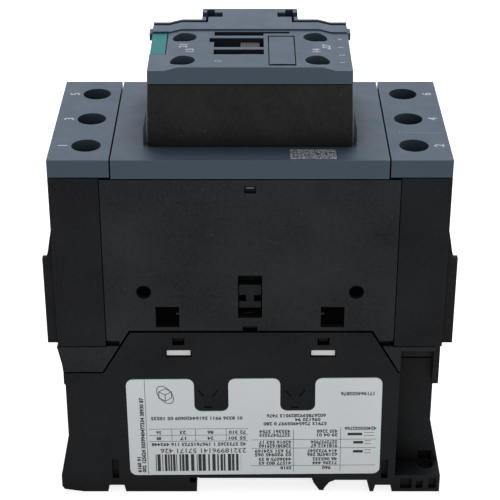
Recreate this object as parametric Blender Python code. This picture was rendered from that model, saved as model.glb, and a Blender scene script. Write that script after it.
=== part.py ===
"""Three-pole contactor for a 35 mm rail, lying on its mounting side with its front up.

Sizes are in metres. +Z points away from the rail, -X is the line side, +X the load side,
and -Y is the side with the rating label. The outside follows from the pieces inside.
"""

import math

import bmesh
import bpy
from mathutils import Matrix, Vector

# Clearances
FIT = 0.0003  # between pieces that sit in or on each other
SLIP = 0.0004  # round pieces that slide or turn
SEAM = 0.0007  # shadow line over the base's tabs
SEAM_SIDE = 0.0003  # its stand-off beside them
CUT = 0.001  # how far a cutter runs past the face that it opens
LAP = 0.0006  # how far joined shapes reach into each other

# Poles and box terminals
POLE_PITCH = 0.018
CLAMP_WIDTH = 0.013
CLAMP_LENGTH = 0.0084
CLAMP_CHEEK = 0.0018
CLAMP_SOLE = 0.003
CLAMP_CROWN = 0.004
CLAMP_PLAY = 0.0006
CLAMP_TRAVEL = 0.008
CROWN_GAP = 0.0015
WIRE_SPACE = 0.012
WIRE_LEAD = 0.00225
SCREW_SETBACK = 0.00325
SCREW_SHANK = 0.0044
SCREW_HEAD = 0.0076
SCREW_HEAD_HEIGHT = 0.004
SCREW_RECESS = 0.0018
SCREW_RECESS_WIDTH = 0.0013
SCREW_RECESS_LENGTH = 0.005
DRIVER_HOLE = 0.008
COLLAR_RIM = 0.0016

# Housings
SIDE_WALL = 0.0024
END_WALL = 0.0025
TERMINAL_WALL = 0.0018
TERMINAL_FLOOR = 0.0022
CHAMBER_MARGIN = 0.0035
CHAMBER_EASE = 0.0005
LOWER_WALL = 0.0025
SLAB = 0.0024
SLAB_GAP = 0.00045
ROOF = 0.0035
HEADROOM = 0.0013
SHELF_SEAM = 0.0005
SHELF_HEIGHT = 0.0082
SHELF_SKIN = 0.002
SHELF_TAPER = 0.00095
SHELF_BEND = 0.0024
SHELF_BEND_INSET = 0.00075
SHELF_LIP = 0.0004
CORNER_PLATE = 0.0013
SEAM_LIP = 0.0008
SEAM_LIP_SETBACK = 0.0008
SEAM_GROOVE = 0.0008
COLLAR_REACH = 0.0019
COLLAR_RIB_REACH = 0.003
COLLAR_RIB = 0.0017
COLLAR_INSET = 0.0014
COLLAR_FOOT = 0.0004
COLLAR_HEAD = 0.0019
GUSSET_RISE = 0.0128
GUSSET_REACH = 0.00165
GUSSET_KNEE = 0.0009
GUSSET_KNEE_RISE = 0.0046
GUSSET_WIDTH = 0.0016
TAIL_WIDTH = 0.0018
TAIL_REACH = 0.0004
TAIL_DEPTH = 0.0018
TAIL_SETBACK = 0.0008
TAIL_DROP = 0.0161

# Base
BASE_INSET = 0.0011
BASE_OFFSET = 0.00025  # how far the base's outside sits towards the load side
FOOT_FLARE = 0.00285
FLARE_LOW = 0.0058
FLARE_HIGH = 0.0198
RIM_LIP = 0.0004
RIM_LIP_HEIGHT = 0.0035
FLOOR_WEB = 0.002
TAB_RISE = 0.00535
TAB_HEIGHT = 0.01345
TAB_TOP_HALF = 0.03425
TAB_SIDE_INSET = 0.0004
TAB_FOOT_HALF = 0.0418
NOTCH_IN = 0.03665
NOTCH_OUT = 0.04195
NOTCH_RISE = 0.00235
NOTCH_SLANT = 0.0005
RAIL_DEPTH = 0.00485
RAIL_LIP = 0.0157
RAIL_UNDERCUT = 0.0021
RAIL_FLANGE_SPACE = 0.00185
RAIL_EASE = 0.0002
CHANNEL_X = 0.0426
CHANNEL_DEPTH = 0.0083
CHANNEL_WALL = 0.0025
END_WALL_BASE = 0.0025
FOOT_HEIGHT = 0.0058
FOOT_HOLE = 0.0046
FOOT_HOLE_INSET = 0.0036
FOOT_HOLE_OFFSET = 0.0025
TOE_RISE = 0.002
TOE_CORNER = 0.0007
TOE_CORNER_RISE = 0.0009
TOE_LENGTH = 0.0064
FOOT_POCKET_DEPTH = 0.0012
FOOT_POCKETS = ((0.00175, 0.0034, 0.0036), (0.0064, 0.002, 0.0027), (0.0101, 0.0023, 0.0036))
FOOT_POCKET_LIFT = 0.0012
DRIVER_RECESS_WIDTH = 0.004
DRIVER_RECESS_DEPTH = 0.002
DRIVER_RECESS_HEIGHT = 0.003
SLIT_X = 0.0385
SLIT_WIDTH = 0.002
SLIT_LOW = 0.0048
SLIT_HEIGHT = 0.0067
SLIT_DEPTH = 0.0015
SNAP_X = 0.0204
SNAP_WIDTH = 0.0034
SNAP_RISE = 0.00125
SNAP_HEIGHT = 0.0024
SNAP_TONGUE = 0.0013
SNAP_ROOT = 0.0024
SNAP_BITE = 0.0009
MARK_MIDDLES = (-0.012, 0.0129)
MARK_ARM = ((0.0028, 0.0358), (0.0013, 0.0337))
MARK_FOOT = ((-0.0011, 0.030), (0.0011, 0.030))
MARK_WIDTH = 0.0006
MARK_FOOT_WIDTH = 0.001
MARK_DEPTH = 0.0004

# Rail latch
LEDGE_DROP = 0.0007
LEDGE = 0.0012
LATCH_PLATE = 0.0013
LATCH_TRAVEL = 0.004
LATCH_START = 0.0183
LATCH_WINDOW = 0.0161
LATCH_STEM = 0.036
LATCH_FLANGE = 0.042
LATCH_STEM_LENGTH = 0.0054
LATCH_FLANGE_LENGTH = 0.0122
LATCH_STEM_SETBACK = 0.0008
HOOK_TIP = 0.0002
HOOK_RAMP = 0.0019
HOOK_FLAT = 0.0012
HOOK_BACK = ((0.0017, 0.3), (0.0029, 0.75))  # bends of its back, along it and as shares of its height
HOOK_LENGTH = 0.0065
NOSE_REACH = 0.0022
NOSE_WIDTH = 0.030
NOSE_HEIGHT = 0.0008
NUB_WIDTH = 0.0021
LATCH_SPRING_LENGTH = 0.010
LATCH_SPRING_DIAMETER = 0.003
LATCH_SPRING_WIRE = 0.0005
LATCH_SPRING_TURNS = 5

# Magnet and coil
PAD = 0.0012
PAD_MARGIN = 0.002
CORE_STACK = 0.018
CORE_CENTRE_LEG = 0.014
CORE_OUTER_LEG = 0.0066
CORE_YOKE = 0.007
CORE_LEG = 0.014
COIL_TO_LEG = 0.0008
FORMER_WALL = 0.001
FORMER_HEIGHT = 0.0311
FORMER_FLANGE = 0.002
FORMER_EDGE = 0.0004
WINDING_DEPTH = 0.009
WINDING_GAP = 0.0002
FORMER_LUG = 0.0068
FORMER_LUG_DROP = 0.00235
FORMER_LUG_HEIGHT = 0.0017
FORMER_LUG_RECESS = 0.0005
MAGNET_TRAVEL = 0.003
ARMATURE_HEADROOM = 0.0024
ARMATURE_YOKE = 0.0078
PIN_DIAMETER = 0.003
PIN_DROP = 0.0039
CHEEK = 0.002
CHEEK_WIDTH = 0.010
CHEEK_DROP = 0.0065
RETURN_SPRING_DIAMETER = 0.007
RETURN_SPRING_WIRE = 0.0009
RETURN_SPRING_TURNS = 4
RETURN_SPRING_GAP = 0.0005

# Contact carrier and contacts
CARRIER_HALF = 0.008
CARRIER_BEAM = 0.0072
CARRIER_LUG = 0.0061
CARRIER_LUG_RECESS = 0.0001
CARRIER_NOTCH = 0.0020
CARRIER_NOTCH_LOW = 0.0020
CARRIER_WEB = 0.0022
SLOT_SLIP = 0.0003
PASSAGE_SLIP = 0.0006
SLOT_HEAD = 0.003
COLUMN_CHEEK = 0.0015
COLUMN_CAP = 0.0024
STEM_LENGTH = 0.007
STEM_WIDTH = 0.009
BAR_RISE = 0.003
BAR = 0.0025
BAR_SETBACK = 0.0035
BAR_TO_CLAMP = 0.0009
TIP = 0.0015
TIP_LENGTH = 0.006
BRIDGE = 0.0018
BRIDGE_WIDTH = 0.009
CONTACT_SPRING_LENGTH = 0.0078
CONTACT_SPRING_DIAMETER = 0.008
CONTACT_SPRING_WIRE = 0.0009
CONTACT_SPRING_TURNS = 3

# Covers
FRONT_COVER = 0.0055
TERMINAL_COVER = 0.005
COVER_LAP = 0.00275
COVER_GAP = 0.0004
COVER_TOP = 0.0022
COVER_SKIRT = 0.0016
HOLE_COLLAR = 0.0012
GUARD_REACH = 0.0009
GUARD_DEPTH = 0.0012
GUARD_SETBACK = 0.0012
GUARD_FLAT = 0.0045
GUARD_HEIGHT = 0.0092

# Auxiliary contact block
AUX_HALF = 0.02715
AUX_FRONT = 0.0184
AUX_BACK = 0.0187
AUX_DRAFT = 0.0005
AUX_REAR_HALF = 0.0136
AUX_WALL = 0.0018
AUX_FLOOR = 0.0016
AUX_ROOM = 0.0012
AUX_STRIP = 0.001
AUX_STRIP_WIDTH = 0.006
AUX_TIP = 0.0008
AUX_TIP_LENGTH = 0.003
AUX_BRIDGE = 0.0008
AUX_BRIDGE_WIDTH = 0.005
AUX_FINGER_LIFT = 0.0026
AUX_FINGER_GAP = 0.0016
AUX_BEND = 0.0116
AUX_SCREW_INSET = 0.0091
AUX_ROW_NO = -0.0117
AUX_ROW_NC = 0.00555
AUX_SCREW_HEAD = 0.0062
AUX_SCREW_HEAD_HEIGHT = 0.0026
AUX_SCREW_SHANK = 0.0035
AUX_SCREW_DEPTH = 0.005
AUX_RECESS = 0.0012
AUX_RECESS_WIDTH = 0.001
AUX_RECESS_LENGTH = 0.0042
AUX_DRIVER_ROOM = 0.00495
AUX_DRIVER_HOLE = 0.0067
AUX_BOSS_WIDTH = 0.008
AUX_BOSS_LENGTH = 0.0094
AUX_WIRE_WIDTH = 0.0062
AUX_WIRE_HEIGHT = 0.0052
AUX_NUB_REACH = 0.001
AUX_NUB_WIDTH = 0.004
AUX_NUB_MIDDLE = 0.0136
AUX_NUB_DROP = 0.0021
SLIDER_HALF = 0.00265
SLIDER_END = 0.0032
SLIDER_FOOT_HALF = 0.004
SLIDER_WINDOW_ROOM = 0.0008
INDICATOR_RECESS = 0.0010

# Hood of the auxiliary block
HOOD_HEIGHT = 0.0046
HOOD_LEAN = 0.0015
HOOD_WALL = 0.0022
HOOD_SKIRT = 0.0014
HOOD_STEP = 0.00045
HOOD_STEP_Y = 0.0108
HOOD_CROWN = 0.0009
HOOD_SHOULDER = 0.0044
HOOD_RAMP = 0.0036
HOOD_LIP = 0.0001
HOOD_RIM = 0.0009
HOOD_GROOVE = 0.0016
HOOD_GROOVE_DEPTH = 0.001
WINDOW_LEFT = -0.00985
WINDOW_RIGHT = 0.00378
WINDOW_ROWS = ((0.0067, 0.0098), (-0.0021, 0.0049), (-0.0075, -0.0038))
WINDOW_SLIT = 0.0072
WINDOW_SLIT_WIDTH = 0.0014
WINDOW_EAR = 0.0013
WINDOW_EAR_WIDTH = 0.0031
PLATE_LEFT = 0.0052
PLATE_WIDTH = 0.0068
PLATE_FRONT = -0.0145
PLATE_LENGTH = 0.0206
PLATE_THICK = 0.0009
PLATE_RECESS = 0.0011
PLATE_FRONT_GAP = 0.0012
PLATE_BACK_GAP = 0.0006
INLAY_WIDTH = 0.0041
INLAY_FRONT = -0.0048
INLAY_LENGTH = 0.0157
INLAY_THICK = 0.0006
INLAY_RECESS = 0.0008
COIL_SLOT_WIDTH = 0.0022
COIL_SLOT_INSET = 0.0024
COIL_SLOT_ARM_LENGTH = 0.0058
COIL_SLOT_FRONT = 0.0207
COIL_SLOT_BACK = 0.0266
COIL_SLOT_ARM_DEPTH = 0.0036
COIL_SLIT_WIDTH = 0.0007
COIL_SLIT_INSET = 0.00145

# Coil terminals, which stand in the rear part of the block
COIL_STRIP_EDGE = 0.0005
COIL_STRIP_WIDTH = 0.003
COIL_STRIP = 0.0008
COIL_STRIP_DROP = 0.006

# Rating label on the base
LABEL_LEFT = -0.0353
LABEL_RIGHT = 0.0379
LABEL_LOW = 0.00625
LABEL_HIGH = 0.03955
LABEL_TILT = math.radians(0.5)  # the film was laid on a little askew
LABEL_CORNER = 0.002
LABEL_NOTCHES = ((-0.0159, -0.0061), (0.00875, 0.01878))
LABEL_NOTCH_LOW = 0.02855
LABEL_THICK = 0.0003
LABEL_RECESS = 0.0005
LABEL_EDGE = 0.0002

# Side features of the pole housing
ROUND_HOLE = 0.0042
ROUND_HOLE_X = 0.0294
ROUND_HOLE_RISE = 0.01235
SQUARE_HOLE = 0.0066
SQUARE_HOLE_X = 0.0230
SQUARE_HOLE_RISE = 0.0011
BLIND_DEPTH = 0.0016
SOCKET_NIB = 0.0009
SOCKET_NIB_HEIGHT = 0.0006
SOCKET_NIB_RISE = 0.0039
SOCKET_NIB_RECESS = 0.0004
TOP_WINDOW_HALF = 0.0016
TOP_WINDOW_DROP = 0.0017
TOP_WINDOW_HEIGHT = 0.0022
TOP_WINDOW_DEPTH = 0.001
EDGE_NOTCH_HALF = 0.00205
EDGE_NOTCH_HEIGHT = 0.0015
CORNER_SLOT_LENGTH = 0.0036
CORNER_SLOT_HEIGHT = 0.0018

# Facets
SIDES = 32
SMALL_SIDES = 12
CORNER_STEPS = 4
POINTS_PER_TURN = 8

# Levels along Z, each from the piece below it
LEDGE_Z = RAIL_DEPTH - LEDGE_DROP
FLANGE_Z = LEDGE_Z + LEDGE + FIT
SLOT_CEILING_Z = FLANGE_Z + LATCH_PLATE + FIT
FLOOR_Z = SLOT_CEILING_Z + FLOOR_WEB
PAD_Z = FLOOR_Z + FIT
CORE_Z = PAD_Z + PAD + FIT
YOKE_Z = CORE_Z + CORE_YOKE
CORE_FACE_Z = YOKE_Z + CORE_LEG
FORMER_Z = YOKE_Z + FIT
FORMER_TOP_Z = FORMER_Z + FORMER_HEIGHT
TAB_TOP_Z = FORMER_TOP_Z + TAB_RISE
RIM_Z = TAB_TOP_Z - TAB_HEIGHT
ARMATURE_Z = CORE_FACE_Z + MAGNET_TRAVEL + FIT
ARMATURE_YOKE_Z = FORMER_TOP_Z + MAGNET_TRAVEL + ARMATURE_HEADROOM
ARMATURE_TOP_Z = ARMATURE_YOKE_Z + ARMATURE_YOKE
BEAM_Z = ARMATURE_TOP_Z + FIT
BEAM_TOP_Z = BEAM_Z + CARRIER_BEAM
SLAB_Z = BEAM_TOP_Z + SLAB_GAP
CHAMBER_Z = SLAB_Z + SLAB
BAR_Z = CHAMBER_Z + BAR_RISE
BAR_TOP_Z = BAR_Z + BAR
FIXED_TIP_Z = BAR_TOP_Z + TIP
BRIDGE_TIP_Z = FIXED_TIP_Z + MAGNET_TRAVEL + FIT
BRIDGE_Z = BRIDGE_TIP_Z + TIP
BRIDGE_TOP_Z = BRIDGE_Z + BRIDGE
SPRING_Z = BRIDGE_TOP_Z + FIT
SPRING_TOP_Z = SPRING_Z + CONTACT_SPRING_LENGTH
COLUMN_WINDOW_TOP_Z = SPRING_TOP_Z + FIT
COLUMN_TOP_Z = COLUMN_WINDOW_TOP_Z + COLUMN_CAP
ROOF_Z = COLUMN_TOP_Z + HEADROOM
POLE_TOP_Z = ROOF_Z + ROOF
COVER_Z = POLE_TOP_Z + FIT
FRONT_Z = COVER_Z + FRONT_COVER
TERMINAL_COVER_Z = FRONT_Z - TERMINAL_COVER
SHELF_Z = RIM_Z + SHELF_SEAM
SHELF_TOP_Z = SHELF_Z + SHELF_HEIGHT
BLOCK_Z = SHELF_TOP_Z + FIT
BLOCK_TOP_Z = TERMINAL_COVER_Z - FIT
ENTRY_Z = BAR_Z - WIRE_SPACE
CLAMP_Z = ENTRY_Z - CLAMP_SOLE
CLAMP_WINDOW_TOP_Z = BAR_TOP_Z + CROWN_GAP
CLAMP_TOP_Z = CLAMP_WINDOW_TOP_Z + CLAMP_CROWN
SCREW_HEAD_Z = CLAMP_TOP_Z + CLAMP_TRAVEL + FIT
POCKET_Z = CLAMP_Z - FIT
AUX_Z = FRONT_Z + FIT
AUX_FLOOR_Z = AUX_Z + AUX_FLOOR
NC_BRIDGE_Z = AUX_FLOOR_Z + MAGNET_TRAVEL + AUX_ROOM
NC_TIP_Z = NC_BRIDGE_Z + AUX_BRIDGE + AUX_TIP + FIT
AUX_STRIP_Z = NC_TIP_Z + AUX_TIP
AUX_STRIP_TOP_Z = AUX_STRIP_Z + AUX_STRIP
NO_FINGER_Z = AUX_FLOOR_Z + AUX_FINGER_LIFT
NO_TIP_Z = NO_FINGER_Z + AUX_STRIP + AUX_TIP
NO_BRIDGE_Z = NO_TIP_Z + MAGNET_TRAVEL + FIT + AUX_TIP
AUX_HEAD_Z = AUX_STRIP_TOP_Z + FIT
AUX_TOP_Z = AUX_HEAD_Z + AUX_SCREW_HEAD_HEIGHT + AUX_DRIVER_ROOM
HOOD_Z = AUX_TOP_Z + FIT
HOOD_TOP_Z = HOOD_Z + HOOD_HEIGHT
HOOD_FRONT_Z = HOOD_TOP_Z - HOOD_STEP
HOOD_INSIDE_Z = HOOD_FRONT_Z - HOOD_CROWN - HOOD_WALL

# Places along X and Y
POCKET_HALF = CLAMP_WIDTH / 2 + CLAMP_PLAY
HALF_Y = POLE_PITCH + POCKET_HALF + SIDE_WALL
POLE_Y = (-POLE_PITCH, 0.0, POLE_PITCH)
CAVITY_Y = HALF_Y - LOWER_WALL
CHAMBER_HALF_Y = POCKET_HALF + CHAMBER_EASE
CHAMBER_X = TAB_TOP_HALF + CHAMBER_MARGIN
POLE_X = CHAMBER_X + END_WALL
BLOCK_X = POLE_X + FIT
CLAMP_X = BLOCK_X + SLIP
SCREW_X = CLAMP_X + SCREW_SETBACK
CLAMP_END_X = CLAMP_X + CLAMP_LENGTH
POCKET_END_X = CLAMP_END_X + CLAMP_PLAY + WIRE_LEAD
BLOCK_END_X = POCKET_END_X + TERMINAL_WALL
COLLAR_X = BLOCK_END_X + COLLAR_RIB_REACH
TAIL_X = BLOCK_END_X + TAIL_REACH - TAIL_WIDTH
BASE_X = BLOCK_END_X - BASE_INSET
FOOT_X = BASE_X + FOOT_FLARE
TERMINAL_COVER_X = POLE_X - COVER_LAP
FRONT_COVER_X = TERMINAL_COVER_X - COVER_GAP
WINDOW_HALF_Y = CLAMP_WIDTH / 2 - CLAMP_CHEEK
PASSAGE_X = CARRIER_HALF + PASSAGE_SLIP
BAR_X = CARRIER_HALF + BAR_SETBACK
BRIDGE_X = BAR_X + TIP_LENGTH
BORE_X = CORE_CENTRE_LEG / 2 + SLIP
BORE_Y = CORE_STACK / 2 + SLIP
WINDING_X = BORE_X + FORMER_WALL + WINDING_GAP
WINDING_Y = BORE_Y + FORMER_WALL + WINDING_GAP
WINDING_END_X = WINDING_X + WINDING_DEPTH
WINDING_END_Y = WINDING_Y + WINDING_DEPTH
OUTER_LEG_X = WINDING_END_X + COIL_TO_LEG
CORE_X = OUTER_LEG_X + CORE_OUTER_LEG
CHEEK_Y = CORE_STACK / 2 + SLIP
RETURN_SPRING_Y = CHEEK_Y + CHEEK + RETURN_SPRING_GAP + RETURN_SPRING_DIAMETER / 2
SLIDER_FRONT = AUX_ROW_NO - SLIDER_END
SLIDER_BACK = AUX_ROW_NC + SLIDER_END
AUX_FINGER_X = SLIDER_HALF + AUX_FINGER_GAP
AUX_STRIP_END_X = AUX_HALF - AUX_WALL - FIT
AUX_SCREW_X = AUX_HALF - AUX_SCREW_INSET
HOOD_CROWN_HALF = AUX_HALF - HOOD_SHOULDER - HOOD_RAMP
COIL_SLOT_MIDDLE = AUX_REAR_HALF - COIL_SLOT_INSET
COIL_SLOT_ARM_START = AUX_REAR_HALF - COIL_SLOT_ARM_LENGTH
COIL_SLIT_MIDDLE = AUX_REAR_HALF - COIL_SLIT_INSET
COIL_STRIP_X = AUX_REAR_HALF - AUX_WALL - COIL_STRIP_EDGE - COIL_STRIP_WIDTH / 2
COIL_LEG_X = CARRIER_HALF + FIT + COIL_STRIP_WIDTH / 2
COIL_STRIP_Y = CAVITY_Y - FIT
LATCH_X = LATCH_START + FIT
LATCH_STEM_X = LATCH_X + LATCH_STEM_SETBACK
LATCH_FLANGE_END_X = LATCH_STEM_X + LATCH_FLANGE_LENGTH
LATCH_SPRING_X = LATCH_FLANGE_END_X + FIT
LATCH_SPRING_END_X = LATCH_SPRING_X + LATCH_SPRING_LENGTH
CHANNEL_Y = HALF_Y - CHANNEL_DEPTH
FOOT_HOLE_X = FOOT_X - FOOT_HOLE_INSET
FOOT_HOLE_Y = CHANNEL_Y + FOOT_HOLE_OFFSET
LUG_Z = FORMER_TOP_Z - FORMER_LUG_DROP
LUG_TOP_Z = LUG_Z + FORMER_LUG_HEIGHT
SNAPS = (BASE_OFFSET + SNAP_X, BASE_OFFSET - SNAP_X)

OBJECT_NAME = "din_rail_contactor"


def clear_scene():
    for obj in list(bpy.data.objects):
        bpy.data.objects.remove(obj)


def new_collection(name, hidden):
    collection = bpy.data.collections.new(name)
    bpy.context.scene.collection.children.link(collection)
    collection.hide_render = hidden
    return collection


clear_scene()
PARTS = new_collection(OBJECT_NAME, False)
TOOLS = new_collection("cutters_and_joins", True)


def material(name, colour, roughness, metallic=0.0):
    made = bpy.data.materials.new(name)
    made.use_nodes = True
    shader = made.node_tree.nodes["Principled BSDF"]
    shader.inputs["Base Color"].default_value = (*colour, 1.0)
    shader.inputs["Roughness"].default_value = roughness
    shader.inputs["Metallic"].default_value = metallic
    made.diffuse_color = (*colour, 1.0)
    return made


BLACK = material("black_plastic", (0.018, 0.019, 0.021), 0.5)
GREY = material("blue_grey_plastic", (0.115, 0.145, 0.175), 0.5)
LABEL = material("label_film", (0.56, 0.58, 0.60), 0.4)
TEAL = material("teal_inlay", (0.0, 0.31, 0.31), 0.45)
IVORY = material("ivory_plastic", (0.78, 0.75, 0.68), 0.45)
STEEL = material("zinc_plated_steel", (0.62, 0.62, 0.60), 0.35, 1.0)
CORE_STEEL = material("core_steel", (0.30, 0.30, 0.31), 0.45, 1.0)
SPRING_STEEL = material("spring_steel", (0.45, 0.45, 0.46), 0.3, 1.0)
COPPER = material("copper", (0.72, 0.38, 0.24), 0.35, 1.0)
ENAMEL = material("winding_wire", (0.42, 0.16, 0.07), 0.35, 0.6)
RUBBER = material("rubber", (0.03, 0.03, 0.03), 0.9)


def tool_from(mesh):
    """A mesh as a hidden helper, which a part takes over or a Boolean uses."""
    obj = bpy.data.objects.new("helper", mesh)
    TOOLS.objects.link(obj)
    obj.hide_render = True
    obj.display_type = "WIRE"
    return obj


def tool_from_bmesh(shape):
    mesh = bpy.data.meshes.new("helper")
    shape.to_mesh(mesh)
    shape.free()
    return tool_from(mesh)


def tapered(x, y, z, top_x, top_y):
    """A box with one pair of spans across its foot and another across its top."""
    shape = bmesh.new()
    for corner in bmesh.ops.create_cube(shape, size=1.0)["verts"]:
        across = (top_x, top_y) if corner.co.z > 0 else (x, y)
        corner.co = [high if place > 0 else low for place, (low, high) in zip(corner.co, (*across, z))]
    return tool_from_bmesh(shape)


def block(x, y, z):
    """A box from spans along the three axes."""
    return tapered(x, y, z, x, y)


def rod(at, diameter, span, along="Z", sides=SIDES):
    """A round bar through the point at, in the plane across its axis."""
    shape = bmesh.new()
    bmesh.ops.create_cone(
        shape,
        cap_ends=True,
        segments=sides,
        radius1=diameter / 2,
        radius2=diameter / 2,
        depth=span[1] - span[0],
    )
    middle = (span[0] + span[1]) / 2
    if along == "Z":
        place = Matrix.Translation((at[0], at[1], middle))
    else:
        place = Matrix.Translation((at[0], middle, at[1])) @ Matrix.Rotation(math.pi / 2, 4, "X")
    bmesh.ops.transform(shape, matrix=place, verts=shape.verts)
    return tool_from_bmesh(shape)


ALONG_Y = Matrix(((1, 0, 0, 0), (0, 0, -1, 0), (0, 1, 0, 0), (0, 0, 0, 1)))


def extruded(points, span, along="Y"):
    """A flat outline, (x, z) along Y or (x, y) along Z, drawn out over a span."""
    curve = bpy.data.curves.new("outline", "CURVE")
    curve.dimensions = "2D"
    curve.fill_mode = "BOTH"
    curve.extrude = (span[1] - span[0]) / 2
    spline = curve.splines.new("POLY")
    spline.points.add(len(points) - 1)
    for point, (u, v) in zip(spline.points, points):
        point.co = (u, v, 0.0, 1.0)
    spline.use_cyclic_u = True
    holder = bpy.data.objects.new("outline", curve)
    shape = bmesh.new()
    shape.from_mesh(bpy.data.meshes.new_from_object(holder))
    bpy.data.objects.remove(holder)
    bmesh.ops.remove_doubles(shape, verts=shape.verts, dist=1e-6)
    bmesh.ops.recalc_face_normals(shape, faces=shape.faces)
    middle = (span[0] + span[1]) / 2
    if along == "Y":
        place = Matrix.Translation((0, middle, 0)) @ ALONG_Y
    else:
        place = Matrix.Translation((0, 0, middle))
    bmesh.ops.transform(shape, matrix=place, verts=shape.verts)
    return tool_from_bmesh(shape)


def boolean(target, tools, operation):
    for tool in tools:
        modifier = target.modifiers.new(operation.lower(), "BOOLEAN")
        modifier.operation = operation
        modifier.solver = "EXACT"
        modifier.object = tool
    return target


def cut(target, *tools):
    return boolean(target, tools, "DIFFERENCE")


def join(target, *tools):
    return boolean(target, tools, "UNION")


def part(obj, name, look, origin=(0.0, 0.0, 0.0)):
    """Makes a helper a piece of the object, with its origin where its joint has its axis."""
    TOOLS.objects.unlink(obj)
    PARTS.objects.link(obj)
    obj.hide_render = False
    obj.display_type = "TEXTURED"
    obj.name = name
    obj.data.name = name
    obj.data.materials.clear()
    obj.data.materials.append(look)
    obj.data.transform(Matrix.Translation(-Vector(origin)))
    obj.location = origin
    return obj


def turned(side, low, high):
    """A span on the load side, or the same span turned half round onto the line side."""
    return (low, high) if side > 0 else (-high, -low)


def both(low, high):
    """The two mirrored spans at either side of a middle plane."""
    return (low, high), (-high, -low)


def even(half):
    return (-half, half)


def spring(name, start, along, length, diameter, wire, turns):
    """A compression spring as one tube. It prints the least gap between its turns."""
    radius = (diameter - wire) / 2
    count = turns * POINTS_PER_TURN + 1
    rise = (length - wire) / (count - 1)
    axis = Vector((0, 0, 1)) if along == "Z" else Vector((1, 0, 0))
    across = Vector((1, 0, 0)) if along == "Z" else Vector((0, 0, 1))
    third = axis.cross(across)
    points = []
    for n in range(count):
        angle = 2 * math.pi * n / POINTS_PER_TURN
        round_axis = across * (radius * math.cos(angle)) + third * (radius * math.sin(angle))
        points.append(round_axis + axis * (wire / 2 + rise * n))
    curve = bpy.data.curves.new(name, "CURVE")
    curve.dimensions = "3D"
    curve.bevel_depth = wire / 2
    curve.bevel_resolution = 1
    curve.use_fill_caps = True
    spline = curve.splines.new("POLY")
    spline.points.add(count - 1)
    for point, place in zip(spline.points, points):
        point.co = (*place, 1.0)
    obj = bpy.data.objects.new(name, curve)
    obj.location = start
    curve.materials.append(SPRING_STEEL)
    PARTS.objects.link(obj)
    apart = [
        (points[a] - points[b]).length - wire
        for a in range(count)
        for b in range(a + POINTS_PER_TURN // 2 + 1, count)
    ]
    print(f"{name}: least gap between turns {min(apart) * 1000:.2f} mm")
    return obj


def rounded(points, corner_radius, grown=0.0):
    """A closed outline with each corner drawn as an arc of short steps, all of it grown outwards."""
    made = []
    for n, corner in enumerate(points):
        before, after = Vector(points[n - 1]), Vector(points[(n + 1) % len(points)])
        corner = Vector(corner)
        enter, leave = (before - corner).normalized(), (after - corner).normalized()
        outward = leave.x * enter.y - leave.y * enter.x > 0
        radius = corner_radius + grown if outward else corner_radius - grown
        centre = corner + (enter + leave) * radius
        first, last = corner + enter * radius - centre, corner + leave * radius - centre
        turn = first.angle_signed(last)
        for step in range(CORNER_STEPS + 1):
            arc = first.copy()
            arc.rotate(Matrix.Rotation(-turn * step / CORNER_STEPS, 2))
            made.append(tuple(centre + arc))
    return made


def base_outline():
    """The base seen from the label side, with its feet, rail recess and side tabs."""
    nub = LATCH_START + LATCH_WINDOW
    toe = BASE_OFFSET - FOOT_X
    under = [
        (toe, TOE_RISE),
        (toe + TOE_CORNER, TOE_CORNER_RISE),
        (toe + TOE_LENGTH, 0.0),
        (-NOTCH_OUT, 0.0),
        (-NOTCH_OUT + NOTCH_SLANT, NOTCH_RISE),
        (-NOTCH_IN - NOTCH_SLANT, NOTCH_RISE),
        (-NOTCH_IN, 0.0),
        (-RAIL_LIP, 0.0),
        (-RAIL_LIP, RAIL_DEPTH),
        (LATCH_START, RAIL_DEPTH),
        (LATCH_START, LEDGE_Z),
        (nub, LEDGE_Z),
        (nub + NUB_WIDTH / 2, 0.0),
        (nub + NUB_WIDTH, 0.0),
        (nub + NUB_WIDTH + NOTCH_SLANT, NOTCH_RISE),
        (NOTCH_OUT - NOTCH_SLANT, NOTCH_RISE),
        (NOTCH_OUT, 0.0),
        (BASE_OFFSET + FOOT_X, 0.0),
    ]
    right = [
        (FOOT_X, FLARE_LOW),
        (BASE_X, FLARE_HIGH),
        (BASE_X, RIM_Z - RIM_LIP_HEIGHT - RIM_LIP),
        (BASE_X + RIM_LIP, RIM_Z - RIM_LIP_HEIGHT),
        (BASE_X + RIM_LIP, RIM_Z),
        (TAB_FOOT_HALF, RIM_Z),
        (TAB_TOP_HALF - TAB_SIDE_INSET, TAB_TOP_Z),
    ]
    left = [(-x, z) for x, z in reversed(right)]
    return under + [(BASE_OFFSET + x, z) for x, z in right + left]


def label_outline(margin):
    left, right = LABEL_LEFT - margin, LABEL_RIGHT + margin
    low, high = LABEL_LOW - margin, LABEL_HIGH + margin
    points = [(left, low), (right, low), (right, high)]
    for start, end in reversed(LABEL_NOTCHES):
        start, end, bottom = start + margin, end - margin, LABEL_NOTCH_LOW + margin
        points += [(end, high), (end, bottom), (start, bottom), (start, high)]
    points.append((left, high))
    middle = Vector(((left + right) / 2, (low + high) / 2))
    tilt = Matrix.Rotation(LABEL_TILT, 2)
    return [tuple(middle + tilt @ (Vector(p) - middle)) for p in rounded(points, LABEL_CORNER, margin)]


def stroke(start, end, width):
    """The corners of a straight stroke between two places."""
    start, end = Vector(start), Vector(end)
    aside = (end - start).normalized().orthogonal() * (width / 2)
    return [tuple(start + aside), tuple(end + aside), tuple(end - aside), tuple(start - aside)]


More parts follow.
